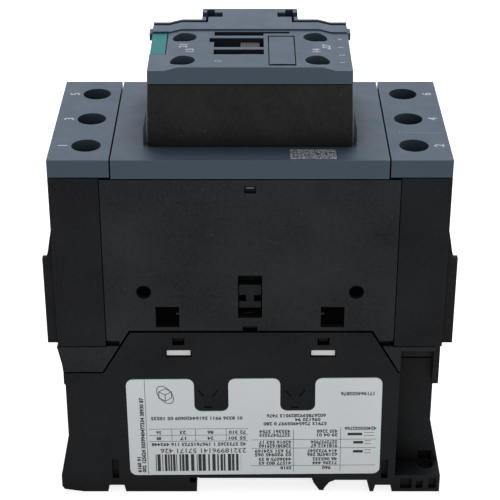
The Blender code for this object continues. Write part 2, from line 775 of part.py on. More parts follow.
def make_base():
    base = extruded(base_outline(), even(HALF_Y))
    well = (FLOOR_Z, TAB_TOP_Z + CUT)
    cut(base, block(even(CHANNEL_X - CHANNEL_WALL), even(HALF_Y - LOWER_WALL), well))
    cut(base, block(even(BASE_X - END_WALL_BASE), even(CHANNEL_Y - CHANNEL_WALL), well))
    for side in (1, -1):
        end = turned(side, CHANNEL_X, FOOT_X + CUT)
        across = turned(side, -HALF_Y - CUT, -CHANNEL_Y)
        cut(base, block(end, across, (FOOT_HEIGHT, TAB_TOP_Z)))
        hole = (side * FOOT_HOLE_X, -side * FOOT_HOLE_Y)
        cut(base, rod(hole, FOOT_HOLE, (-CUT, FOOT_HEIGHT + CUT)))
        recess_x = (hole[0] - DRIVER_RECESS_WIDTH / 2, hole[0] + DRIVER_RECESS_WIDTH / 2)
        recess_y = turned(side, -CHANNEL_Y - CUT, -CHANNEL_Y + DRIVER_RECESS_DEPTH)
        cut(base, block(recess_x, recess_y, (FOOT_HEIGHT, FOOT_HEIGHT + DRIVER_RECESS_HEIGHT)))
        for start, width, height in FOOT_POCKETS:
            pocket_x = turned(side, CHANNEL_X + start, CHANNEL_X + start + width)
            pocket_y = turned(side, -HALF_Y - CUT, -HALF_Y + FOOT_POCKET_DEPTH)
            cut(base, block(pocket_x, pocket_y, (FOOT_POCKET_LIFT, FOOT_POCKET_LIFT + height)))
        for face in both(HALF_Y - SLIT_DEPTH, HALF_Y + CUT):
            slit = turned(side, SLIT_X, SLIT_X + SLIT_WIDTH)
            cut(base, block(slit, face, (SLIT_LOW, SLIT_LOW + SLIT_HEIGHT)))
    for middle in SNAPS:
        lug = (middle - FORMER_LUG / 2 - FIT, middle + FORMER_LUG / 2 + FIT)
        lug_z = (LUG_Z - FIT, LUG_TOP_Z + FIT)
        snap = (middle - SNAP_WIDTH / 2, middle + SNAP_WIDTH / 2)
        snap_z = (FORMER_TOP_Z + SNAP_RISE, FORMER_TOP_Z + SNAP_RISE + SNAP_HEIGHT)
        for face in both(CAVITY_Y - CUT, HALF_Y + CUT):
            cut(base, block(lug, face, lug_z), block(snap, face, snap_z))
    undercut = (-RAIL_LIP - RAIL_UNDERCUT, -RAIL_LIP + LAP)
    undercut_z = (RAIL_DEPTH + RAIL_EASE - RAIL_FLANGE_SPACE, RAIL_DEPTH + RAIL_EASE)
    cut(base, block(undercut, even(HALF_Y + CUT), undercut_z))
    relief = (LATCH_X - NOSE_REACH - SLIP, LATCH_X + CUT)
    cut(base, block(relief, even(NOSE_WIDTH / 2 + SLIP), (0.0, RAIL_DEPTH + RAIL_EASE)))
    stem_x = (LATCH_STEM_X - SLIP, LATCH_STEM_X + LATCH_STEM_LENGTH + LATCH_TRAVEL + SLIP)
    cut(base, block(stem_x, even(LATCH_STEM / 2 + SLIP), (RAIL_DEPTH - LEDGE, FLANGE_Z)))
    flange_x = (LATCH_STEM_X - SLIP, LATCH_FLANGE_END_X + LATCH_TRAVEL + SLIP)
    cut(base, block(flange_x, even(LATCH_FLANGE / 2 + SLIP), (FLANGE_Z - FIT, SLOT_CEILING_Z)))
    spring_x = (LATCH_FLANGE_END_X, LATCH_SPRING_END_X + FIT)
    spring_half = LATCH_SPRING_DIAMETER / 2 + FIT
    spring_z = FLANGE_Z + LATCH_PLATE / 2
    cut(base, block(spring_x, even(spring_half), (spring_z - spring_half, spring_z + spring_half)))
    cut(base, extruded(label_outline(LABEL_EDGE), (-HALF_Y - CUT, -HALF_Y + LABEL_RECESS)))
    groove_y = (-HALF_Y - CUT, -HALF_Y + MARK_DEPTH)
    for middle in MARK_MIDDLES:
        foot = [(middle + x, z) for x, z in MARK_FOOT]
        cut(base, extruded(stroke(*foot, MARK_FOOT_WIDTH), groove_y))
        for side in (1, -1):
            arm = [(middle + side * x, z) for x, z in MARK_ARM]
            cut(base, extruded(stroke(*arm, MARK_WIDTH), groove_y))
    part(base, "base_housing", BLACK)
    film = extruded(label_outline(0.0), (-HALF_Y, -HALF_Y + LABEL_THICK))
    part(film, "rating_label", LABEL)


def make_latch():
    top = LEDGE_Z - FIT
    hook = [
        (LATCH_X, top),
        (LATCH_X, top - LEDGE / 2),
        (LATCH_X + HOOK_RAMP, HOOK_TIP),
        (LATCH_X + HOOK_RAMP + HOOK_FLAT, HOOK_TIP),
        *[(LATCH_X + HOOK_RAMP + along, HOOK_TIP + share * top) for along, share in HOOK_BACK],
        (LATCH_X + HOOK_LENGTH, top),
    ]
    latch = extruded(hook, even(HALF_Y - FIT))
    nose_top = RAIL_DEPTH + RAIL_EASE - RAIL_FLANGE_SPACE + LAP
    nose = [
        (LATCH_X - NOSE_REACH, nose_top),
        (LATCH_X - NOSE_REACH, nose_top - NOSE_HEIGHT),
        (LATCH_X + LAP, LEDGE_DROP),
        (LATCH_X + HOOK_RAMP, LEDGE_DROP),
        (LATCH_X + HOOK_RAMP, nose_top),
    ]
    join(latch, extruded(nose, even(NOSE_WIDTH / 2)))
    stem_x = (LATCH_STEM_X, LATCH_STEM_X + LATCH_STEM_LENGTH)
    join(latch, block(stem_x, even(LATCH_STEM / 2), (top - LAP, FLANGE_Z + LAP)))
    flange_x = (LATCH_STEM_X, LATCH_FLANGE_END_X)
    join(latch, block(flange_x, even(LATCH_FLANGE / 2), (FLANGE_Z, FLANGE_Z + LATCH_PLATE)))
    part(latch, "rail_latch", BLACK, (LATCH_X, 0.0, FLANGE_Z))
    middle = FLANGE_Z + LATCH_PLATE / 2
    spring(
        "rail_latch_spring",
        (LATCH_SPRING_X, 0.0, middle),
        "X",
        LATCH_SPRING_LENGTH,
        LATCH_SPRING_DIAMETER,
        LATCH_SPRING_WIRE,
        LATCH_SPRING_TURNS,
    )


def e_core(yoke_z, yoke_top_z, face_z):
    """An E-shaped stack: a yoke with three legs that end at face_z."""
    core = block(even(CORE_X), even(CORE_STACK / 2), (yoke_z, yoke_top_z))
    legs = (
        even(CORE_CENTRE_LEG / 2),
        (OUTER_LEG_X, CORE_X),
        (-CORE_X, -OUTER_LEG_X),
    )
    reach = yoke_z + LAP if face_z < yoke_z else yoke_top_z - LAP
    for leg in legs:
        join(core, block(leg, even(CORE_STACK / 2), (min(face_z, reach), max(face_z, reach))))
    return core


def make_magnet():
    pad_x, pad_y = CORE_X - PAD_MARGIN, CORE_STACK / 2 - PAD_MARGIN / 2
    part(block(even(pad_x), even(pad_y), (PAD_Z, PAD_Z + PAD)), "core_pad", RUBBER)
    part(e_core(CORE_Z, YOKE_Z, CORE_FACE_Z), "fixed_core", CORE_STEEL)

    tube_x, tube_y = BORE_X + FORMER_WALL, BORE_Y + FORMER_WALL
    flange_x, flange_y = WINDING_END_X + FORMER_EDGE, WINDING_END_Y + FORMER_EDGE
    upper = (FORMER_TOP_Z - FORMER_FLANGE, FORMER_TOP_Z)
    former = block(even(tube_x), even(tube_y), (FORMER_Z, FORMER_TOP_Z))
    join(former, block(even(flange_x), even(flange_y), (FORMER_Z, FORMER_Z + FORMER_FLANGE)))
    join(former, block(even(flange_x), even(flange_y), upper))
    for x in SNAPS:
        for y in both(WINDING_END_Y + FORMER_EDGE / 2, HALF_Y - FORMER_LUG_RECESS):
            join(former, block((x - FORMER_LUG / 2, x + FORMER_LUG / 2), y, (LUG_Z, LUG_TOP_Z)))
    ear = COIL_STRIP_WIDTH / 2 + FIT
    for x in (COIL_LEG_X, -COIL_LEG_X):
        join(former, block((x - ear, x + ear), (WINDING_END_Y - LAP, COIL_STRIP_Y), upper))
    cut(former, block(even(BORE_X), even(BORE_Y), (FORMER_Z - CUT, FORMER_TOP_Z + CUT)))
    part(former, "coil_former", IVORY)

    winding_z = (FORMER_Z + FORMER_FLANGE + WINDING_GAP, upper[0] - WINDING_GAP)
    winding = block(even(WINDING_END_X), even(WINDING_END_Y), winding_z)
    bore_z = (winding_z[0] - CUT, winding_z[1] + CUT)
    cut(winding, block(even(WINDING_X), even(WINDING_Y), bore_z))
    part(winding, "coil_winding", ENAMEL)

    armature = e_core(ARMATURE_YOKE_Z, ARMATURE_TOP_Z, ARMATURE_Z)
    pin_z = ARMATURE_TOP_Z - PIN_DROP
    through = even(CORE_STACK / 2 + CUT)
    cut(armature, rod((0.0, pin_z), PIN_DIAMETER + FIT, through, "Y", SMALL_SIDES))
    part(armature, "armature", CORE_STEEL, (0.0, 0.0, ARMATURE_Z))
    pin = rod((0.0, pin_z), PIN_DIAMETER, even(CHEEK_Y + CHEEK), "Y", SMALL_SIDES)
    part(pin, "armature_pin", STEEL, (0.0, 0.0, pin_z))

    spring_z = FORMER_TOP_Z + FIT
    for number, y in enumerate((-RETURN_SPRING_Y, RETURN_SPRING_Y), 1):
        spring(
            f"return_spring_{number}",
            (0.0, y, spring_z),
            "Z",
            BEAM_Z - FIT - spring_z,
            RETURN_SPRING_DIAMETER,
            RETURN_SPRING_WIRE,
            RETURN_SPRING_TURNS,
        )


def make_carrier():
    beam_y = CAVITY_Y - SLIP
    carrier = block(even(CARRIER_HALF), even(beam_y), (BEAM_Z, BEAM_TOP_Z))
    lug_y = HALF_Y - CARRIER_LUG_RECESS
    lug = block(even(CARRIER_LUG / 2), even(lug_y), (BEAM_Z, BEAM_TOP_Z))
    join(carrier, lug)
    notch_z = (BEAM_Z + CARRIER_NOTCH_LOW, BEAM_Z + CARRIER_NOTCH_LOW + CARRIER_NOTCH)
    for face in both(beam_y, lug_y + CUT):
        for x in both(CARRIER_WEB / 2, CARRIER_LUG):
            cut(carrier, block(x, face, notch_z))
    column_half = BRIDGE_WIDTH / 2 + SLIP + COLUMN_CHEEK
    sill_z = BRIDGE_Z - FIT
    for y in POLE_Y:
        column_y = (y - column_half, y + column_half)
        column = block(even(CARRIER_HALF), column_y, (BEAM_TOP_Z - LAP, COLUMN_TOP_Z))
        opening_y = (y - BRIDGE_WIDTH / 2 - SLIP, y + BRIDGE_WIDTH / 2 + SLIP)
        opening = block(even(CARRIER_HALF + CUT), opening_y, (sill_z, COLUMN_WINDOW_TOP_Z))
        join(carrier, column)
        cut(carrier, opening)
    stem_z = (COLUMN_TOP_Z - LAP, FRONT_Z - FIT)
    join(carrier, block(even(STEM_LENGTH / 2), even(STEM_WIDTH / 2), stem_z))
    pin_z = ARMATURE_TOP_Z - PIN_DROP
    for cheek_y in both(CHEEK_Y, CHEEK_Y + CHEEK):
        cheek_z = (BEAM_Z - CHEEK_DROP, BEAM_Z + LAP)
        join(carrier, block(even(CHEEK_WIDTH / 2), cheek_y, cheek_z))
    hole = rod((0.0, pin_z), PIN_DIAMETER + FIT, even(CHEEK_Y + CHEEK + CUT), "Y", SMALL_SIDES)
    cut(carrier, hole)
    part(carrier, "contact_carrier", BLACK, (0.0, 0.0, BEAM_Z))

    for number, y in enumerate(POLE_Y, 1):
        span = (y - BRIDGE_WIDTH / 2, y + BRIDGE_WIDTH / 2)
        bridge = block(even(BRIDGE_X), span, (BRIDGE_Z, BRIDGE_TOP_Z))
        for tip_x in both(BAR_X, BRIDGE_X):
            join(bridge, block(tip_x, span, (BRIDGE_TIP_Z, BRIDGE_Z + LAP)))
        part(bridge, f"contact_bridge_{number}", COPPER, (0.0, y, BRIDGE_Z))
        spring(
            f"contact_spring_{number}",
            (0.0, y, SPRING_Z),
            "Z",
            CONTACT_SPRING_LENGTH,
            CONTACT_SPRING_DIAMETER,
            CONTACT_SPRING_WIRE,
            CONTACT_SPRING_TURNS,
        )


def make_terminals():
    """Fixed contacts, box clamps and screws: 1, 3, 5 on the line side, 2, 4, 6 on the load side."""
    bar_half = WINDOW_HALF_Y - SLIP
    for pole, y in enumerate(POLE_Y):
        for side in (-1, 1):
            number = 2 * pole + (1 if side < 0 else 2)
            bar_x = turned(side, BAR_X, CLAMP_END_X + BAR_TO_CLAMP)
            bar_y = (y - bar_half, y + bar_half)
            bar = block(bar_x, bar_y, (BAR_Z, BAR_TOP_Z))
            join(bar, block(turned(side, BAR_X, BRIDGE_X), bar_y, (BAR_TOP_Z - LAP, FIXED_TIP_Z)))
            part(bar, f"fixed_contact_{number}", COPPER)

            clamp_x = turned(side, CLAMP_X, CLAMP_END_X)
            clamp_y = (y - CLAMP_WIDTH / 2, y + CLAMP_WIDTH / 2)
            clamp = block(clamp_x, clamp_y, (CLAMP_Z, CLAMP_TOP_Z))
            window_x = (clamp_x[0] - CUT, clamp_x[1] + CUT)
            window_y = (y - WINDOW_HALF_Y, y + WINDOW_HALF_Y)
            cut(clamp, block(window_x, window_y, (ENTRY_Z, CLAMP_WINDOW_TOP_Z)))
            axis = (side * SCREW_X, y)
            thread = (CLAMP_WINDOW_TOP_Z - CUT, CLAMP_TOP_Z + CUT)
            cut(clamp, rod(axis, SCREW_SHANK + 2 * FIT, thread, sides=SMALL_SIDES))
            part(clamp, f"terminal_clamp_{number}", STEEL, (*axis, CLAMP_TOP_Z))

            head_top = SCREW_HEAD_Z + SCREW_HEAD_HEIGHT
            screw = rod(axis, SCREW_HEAD, (SCREW_HEAD_Z, head_top))
            shank = (BAR_TOP_Z + FIT, SCREW_HEAD_Z + LAP)
            join(screw, rod(axis, SCREW_SHANK, shank, sides=SMALL_SIDES))
            cross_recess(screw, axis, head_top, SCREW_RECESS, SCREW_RECESS_WIDTH, SCREW_RECESS_LENGTH)
            part(screw, f"terminal_screw_{number}", STEEL, (*axis, SCREW_HEAD_Z))


def cross_recess(screw, axis, top, depth, width, length):
    span = (top - depth, top + CUT)
    for long_x in (True, False):
        half_x, half_y = (length / 2, width / 2) if long_x else (width / 2, length / 2)
        x, y = (axis[0] - half_x, axis[0] + half_x), (axis[1] - half_y, axis[1] + half_y)
        cut(screw, block(x, y, span))


def pole_outline():
    """The pole housing seen from the label side, with the shelves under the terminal blocks."""
    tab = [
        (TAB_TOP_HALF - TAB_SIDE_INSET + SEAM_SIDE, TAB_TOP_Z + SEAM),
        (TAB_FOOT_HALF + SEAM_SIDE, SHELF_Z),
    ]
    right = [
        (BLOCK_END_X - SHELF_TAPER, SHELF_Z),
        (BLOCK_END_X - SHELF_BEND_INSET, SHELF_Z + SHELF_BEND),
        (BLOCK_END_X + SHELF_LIP, SHELF_TOP_Z),
        (POLE_X, SHELF_TOP_Z),
        (POLE_X, POLE_TOP_Z),
    ]
    left = [(-x, z) for x, z in reversed(right)]
    load_tab = [(BASE_OFFSET + x, z) for x, z in tab]
    line_tab = [(BASE_OFFSET - x, z) for x, z in reversed(tab)]
    return load_tab + right + left + line_tab


def make_pole_housing():
    housing = extruded(pole_outline(), even(HALF_Y))
    low = RIM_Z - CUT
    cut(housing, block(even(CHAMBER_X), even(CAVITY_Y), (low, SLAB_Z)))
    shelf_x, shelf_y = BLOCK_END_X - SHELF_TAPER - SHELF_SKIN, CHANNEL_Y - CHANNEL_WALL
    cut(housing, block(even(shelf_x), even(shelf_y), (low, SHELF_TOP_Z - SHELF_SKIN)))
    for y in POLE_Y:
        chamber_y = (y - CHAMBER_HALF_Y, y + CHAMBER_HALF_Y)
        cut(housing, block(even(CHAMBER_X), chamber_y, (CHAMBER_Z, ROOF_Z)))
        bar_half = WINDOW_HALF_Y - SLIP + FIT
        bar_z = (BAR_Z - FIT, FIXED_TIP_Z + FIT)
        cut(housing, block(even(POLE_X + CUT), (y - bar_half, y + bar_half), bar_z))
    cut(housing, block(even(PASSAGE_X), even(CAVITY_Y), (SLAB_Z - CUT, ROOF_Z)))
    stem_x, stem_y = STEM_LENGTH / 2 + SLIP, STEM_WIDTH / 2 + SLIP
    cut(housing, block(even(stem_x), even(stem_y), (ROOF_Z - CUT, POLE_TOP_Z + CUT)))
    slot_half = CARRIER_LUG / 2 + SLOT_SLIP
    slot_z = (BEAM_Z - MAGNET_TRAVEL - FIT, BEAM_TOP_Z + SLOT_HEAD)
    strip_half = COIL_STRIP_WIDTH / 2 + FIT
    for middle in (COIL_LEG_X, -COIL_LEG_X):
        strip_x = (middle - strip_half, middle + strip_half)
        strip_y = (COIL_STRIP_Y - COIL_STRIP - FIT, COIL_STRIP_Y + FIT)
        cut(housing, block(strip_x, strip_y, (SLAB_Z - CUT, POLE_TOP_Z + CUT)))
    edge_z = TAB_TOP_Z + SEAM
    window_top = POLE_TOP_Z - TOP_WINDOW_DROP
    for turn in (1, -1):
        wall = turned(turn, CAVITY_Y - CUT, HALF_Y + CUT)
        face = turned(turn, HALF_Y - BLIND_DEPTH, HALF_Y + CUT)
        cut(housing, block(even(slot_half), wall, slot_z))
        notch_z = (edge_z - CUT, edge_z + EDGE_NOTCH_HEIGHT)
        cut(housing, block(even(EDGE_NOTCH_HALF), face, notch_z))
        window_y = turned(turn, HALF_Y - TOP_WINDOW_DEPTH, HALF_Y + CUT)
        cut(housing, block(even(TOP_WINDOW_HALF), window_y, (window_top - TOP_WINDOW_HEIGHT, window_top)))
        lip = HALF_Y - SEAM_LIP_SETBACK
        groove_y = turned(turn, lip - SEAM_LIP - FIT, lip + FIT)
        for side in (1, -1):
            hole_z = edge_z + ROUND_HOLE_RISE
            cut(housing, rod((side * ROUND_HOLE_X, hole_z), ROUND_HOLE, face, "Y"))
            inner_x, outer_x = SQUARE_HOLE_X - SQUARE_HOLE / 2, SQUARE_HOLE_X + SQUARE_HOLE / 2
            square_z = edge_z + SQUARE_HOLE_RISE
            square = block(turned(side, inner_x, outer_x), face, (square_z, square_z + SQUARE_HOLE))
            nib_x = turned(side, inner_x - LAP, inner_x + SOCKET_NIB)
            nib_y = turned(turn, HALF_Y - BLIND_DEPTH - LAP, HALF_Y - SOCKET_NIB_RECESS)
            nib_z = (square_z + SOCKET_NIB_RISE, square_z + SOCKET_NIB_RISE + SOCKET_NIB_HEIGHT)
            cut(housing, square)
            join(housing, block(nib_x, nib_y, nib_z))
            slit_x = turned(side, POLE_X - CORNER_SLOT_LENGTH, POLE_X + CUT)
            slit_z = (SHELF_TOP_Z + FIT, SHELF_TOP_Z + FIT + CORNER_SLOT_HEIGHT)
            cut(housing, block(slit_x, face, slit_z))
            groove_x = turned(side, POLE_X - SEAM_GROOVE, POLE_X + CUT)
            cut(housing, block(groove_x, groove_y, (SHELF_TOP_Z + FIT, POLE_TOP_Z + CUT)))
    for side in (1, -1):
        corner_x = turned(side, CHANNEL_X, BLOCK_END_X + CUT)
        corner_y = turned(side, -HALF_Y - CUT, -CHANNEL_Y)
        cut(housing, block(corner_x, corner_y, (low, SHELF_TOP_Z - CORNER_PLATE)))
        tail_x = turned(side, TAIL_X - SLIP, BLOCK_END_X + CUT)
        cut(housing, block(tail_x, corner_y, (low, SHELF_TOP_Z + CUT)))
    snap_half = SNAP_WIDTH / 2 - FIT
    tip_z = FORMER_TOP_Z + SNAP_RISE + FIT
    inner = CAVITY_Y - FIT - SNAP_TONGUE
    for middle in SNAPS:
        snap_x = (middle - snap_half, middle + snap_half)
        for face in (1, -1):
            root = turned(face, inner, CAVITY_Y + LAP)
            tongue = turned(face, inner, CAVITY_Y - FIT)
            barb = turned(face, inner + LAP, CAVITY_Y + SNAP_BITE)
            join(housing, block(snap_x, tongue, (tip_z, edge_z + SNAP_ROOT)))
            join(housing, block(snap_x, root, (edge_z + LAP, edge_z + SNAP_ROOT + LAP)))
            join(housing, block(snap_x, barb, (tip_z, tip_z + SNAP_HEIGHT - 2 * FIT)))
    part(housing, "pole_housing", BLACK)


def make_terminal_block(side, name):
    outer = turned(side, BLOCK_X, BLOCK_END_X)
    body = block(outer, even(HALF_Y), (BLOCK_Z, BLOCK_TOP_Z))
    collar_z = (BLOCK_Z + COLLAR_FOOT, BAR_Z + COLLAR_HEAD)
    collar_x = turned(side, BLOCK_END_X - LAP, BLOCK_END_X + COLLAR_REACH)
    collar_y = HALF_Y - COLLAR_INSET
    join(body, block(collar_x, even(collar_y), collar_z))
    for rib_y in both(collar_y - COLLAR_RIB, collar_y):
        join(body, block(turned(side, BLOCK_END_X - LAP, COLLAR_X), rib_y, collar_z))
    gussets = [y + offset for y in POLE_Y for offset in (-POLE_PITCH / 2, POLE_PITCH / 2)]
    edge = HALF_Y - COLLAR_INSET - GUSSET_WIDTH / 2
    for y in sorted({round(max(-edge, min(edge, y)), 6) for y in gussets}):
        ramp = [
            (side * (BLOCK_END_X - LAP), collar_z[1] - LAP),
            (side * (BLOCK_END_X + GUSSET_REACH), collar_z[1] - LAP),
            (side * (BLOCK_END_X + GUSSET_REACH), collar_z[1]),
            (side * (BLOCK_END_X + GUSSET_KNEE), collar_z[1] + GUSSET_KNEE_RISE),
            (side * (BLOCK_END_X - LAP), collar_z[1] + GUSSET_RISE),
        ]
        join(body, extruded(ramp, (y - GUSSET_WIDTH / 2, y + GUSSET_WIDTH / 2)))
    lip = HALF_Y - SEAM_LIP_SETBACK
    lip_x = turned(side, BLOCK_X - SEAM_GROOVE, BLOCK_X + LAP)
    for lip_y in both(lip - SEAM_LIP, lip):
        join(body, block(lip_x, lip_y, (BLOCK_Z + CORNER_SLOT_HEIGHT, POLE_TOP_Z)))
    tail_x = turned(side, TAIL_X, TAIL_X + TAIL_WIDTH)
    tail_y = turned(side, -CHANNEL_Y - TAIL_SETBACK - TAIL_DEPTH, -CHANNEL_Y - TAIL_SETBACK)
    join(body, block(tail_x, tail_y, (BLOCK_Z - TAIL_DROP, BLOCK_Z + LAP)))
    for y in POLE_Y:
        pocket_y = (y - POCKET_HALF, y + POCKET_HALF)
        pocket_x = turned(side, BLOCK_X - CUT, POCKET_END_X)
        cut(body, block(pocket_x, pocket_y, (POCKET_Z, BLOCK_TOP_Z + CUT)))
        entry_half = POCKET_HALF - COLLAR_RIM / 2
        entry_x = turned(side, POCKET_END_X - CUT, COLLAR_X + CUT)
        cut(body, block(entry_x, (y - entry_half, y + entry_half), (ENTRY_Z, BAR_Z)))
        under_x = turned(side, BLOCK_X + TERMINAL_WALL, POCKET_END_X)
        cut(body, block(under_x, pocket_y, (BLOCK_Z - CUT, POCKET_Z - TERMINAL_FLOOR)))
    part(body, name, BLACK)


def make_terminal_cover(side, name):
    outer = turned(side, TERMINAL_COVER_X, BLOCK_END_X)
    cover = block(outer, even(HALF_Y), (TERMINAL_COVER_Z, FRONT_Z))
    hollow_x = turned(side, TERMINAL_COVER_X + COVER_SKIRT, BLOCK_END_X - COVER_SKIRT)
    hollow_z = (TERMINAL_COVER_Z - CUT, FRONT_Z - COVER_TOP)
    cut(cover, block(hollow_x, even(HALF_Y - COVER_SKIRT), hollow_z))
    for y in POLE_Y:
        axis = (side * SCREW_X, y)
        collar = rod(axis, DRIVER_HOLE + 2 * HOLE_COLLAR, (TERMINAL_COVER_Z, FRONT_Z - LAP))
        join(cover, collar)
    for y in POLE_Y:
        axis = (side * SCREW_X, y)
        cut(cover, rod(axis, DRIVER_HOLE, (TERMINAL_COVER_Z - CUT, FRONT_Z + CUT)))
    part(cover, name, GREY)


def make_front_cover():
    cover = block(even(FRONT_COVER_X), even(HALF_Y), (COVER_Z, FRONT_Z))
    hollow_z = (COVER_Z - CUT, FRONT_Z - COVER_TOP)
    cut(cover, block(even(FRONT_COVER_X - COVER_SKIRT), even(HALF_Y - COVER_SKIRT), hollow_z))
    stem_x, stem_y = STEM_LENGTH / 2 + SLIP, STEM_WIDTH / 2 + SLIP
    through = (COVER_Z - CUT, FRONT_Z + CUT)
    cut(cover, block(even(stem_x), even(stem_y), through))
    strip_half = COIL_STRIP_WIDTH / 2 + FIT
    for middle in (COIL_STRIP_X, -COIL_STRIP_X):
        strip_x = (middle - strip_half, middle + strip_half)
        strip_y = (COIL_STRIP_Y - COIL_STRIP - FIT, COIL_STRIP_Y + FIT)
        cut(cover, block(strip_x, strip_y, through))
    guard_y = (-AUX_FRONT + GUARD_SETBACK, -AUX_FRONT + GUARD_SETBACK + GUARD_DEPTH)
    for side in (1, -1):
        near = side * (AUX_HALF + AUX_DRAFT + FIT)
        far = near + side * GUARD_REACH
        guard = [
            (near, FRONT_Z - LAP),
            (far, FRONT_Z - LAP),
            (far, FRONT_Z + GUARD_FLAT),
            (near, FRONT_Z + GUARD_HEIGHT),
        ]
        join(cover, extruded(guard, guard_y))
    part(cover, "front_cover", GREY)


def make_aux_housing():
    foot_x, foot_y = even(AUX_HALF + AUX_DRAFT), (-AUX_FRONT - AUX_DRAFT, AUX_BACK)
    height = (AUX_Z, AUX_TOP_Z)
    body = tapered(foot_x, foot_y, height, even(AUX_HALF), (-AUX_FRONT, AUX_BACK))
    join(body, block(even(AUX_REAR_HALF), (AUX_BACK - LAP, HALF_Y), height))
    inside_z = (AUX_FLOOR_Z, AUX_TOP_Z + CUT)
    inner_y = (-AUX_FRONT + AUX_WALL, AUX_BACK - AUX_WALL)
    cut(body, block(even(AUX_HALF - AUX_WALL), inner_y, inside_z))
    rear_y = (AUX_BACK, HALF_Y - AUX_WALL)
    cut(body, block(even(AUX_REAR_HALF - AUX_WALL), rear_y, inside_z))
    boss_top = AUX_STRIP_Z - FIT
    for row in (AUX_ROW_NO, AUX_ROW_NC):
        for side in (1, -1):
            boss_x = turned(side, AUX_STRIP_END_X - AUX_BOSS_LENGTH, AUX_STRIP_END_X + FIT + LAP)
            boss_y = (row - AUX_BOSS_WIDTH / 2, row + AUX_BOSS_WIDTH / 2)
            join(body, block(boss_x, boss_y, (AUX_FLOOR_Z - LAP, boss_top)))
            bore_z = (AUX_HEAD_Z - AUX_SCREW_DEPTH - FIT - AUX_STRIP, boss_top + CUT)
            axis = (side * AUX_SCREW_X, row)
            cut(body, rod(axis, AUX_SCREW_SHANK + 2 * FIT, bore_z, sides=SMALL_SIDES))
            entry_x = turned(side, AUX_HALF - AUX_WALL - LAP, AUX_HALF + CUT)
            entry_y = (row - AUX_WIRE_WIDTH / 2, row + AUX_WIRE_WIDTH / 2)
            entry_z = (AUX_STRIP_TOP_Z + FIT, AUX_STRIP_TOP_Z + FIT + AUX_WIRE_HEIGHT)
            cut(body, block(entry_x, entry_y, entry_z))
    passage_x, passage_y = SLIDER_HALF + SLIP, SLIDER_FOOT_HALF + SLIP
    cut(body, block(even(passage_x), even(passage_y), (AUX_Z - CUT, AUX_FLOOR_Z + CUT)))
    strip_half = COIL_STRIP_WIDTH / 2 + FIT
    for middle in (COIL_STRIP_X, -COIL_STRIP_X):
        strip_x = (middle - strip_half, middle + strip_half)
        strip_y = (COIL_STRIP_Y - COIL_STRIP - FIT, COIL_STRIP_Y + FIT)
        cut(body, block(strip_x, strip_y, (AUX_Z - CUT, AUX_FLOOR_Z + CUT)))
    part(body, "aux_housing", BLACK)


def make_coil_terminal(side, name):
    """A strip from the former's ear beside the carrier up to its slot, set over under the front cover."""
    half = COIL_STRIP_WIDTH / 2
    line = [
        (COIL_LEG_X, FORMER_TOP_Z + FIT),
        (COIL_LEG_X, COVER_Z),
        (COIL_STRIP_X, FRONT_Z - COVER_TOP),
        (COIL_STRIP_X, AUX_TOP_Z - COIL_STRIP_DROP),
    ]
    outer = [(side * (x + half), z) for x, z in line]
    inner = [(side * (x - half), z) for x, z in reversed(line)]
    part(extruded(outer + inner, (COIL_STRIP_Y - COIL_STRIP, COIL_STRIP_Y)), name, COPPER)


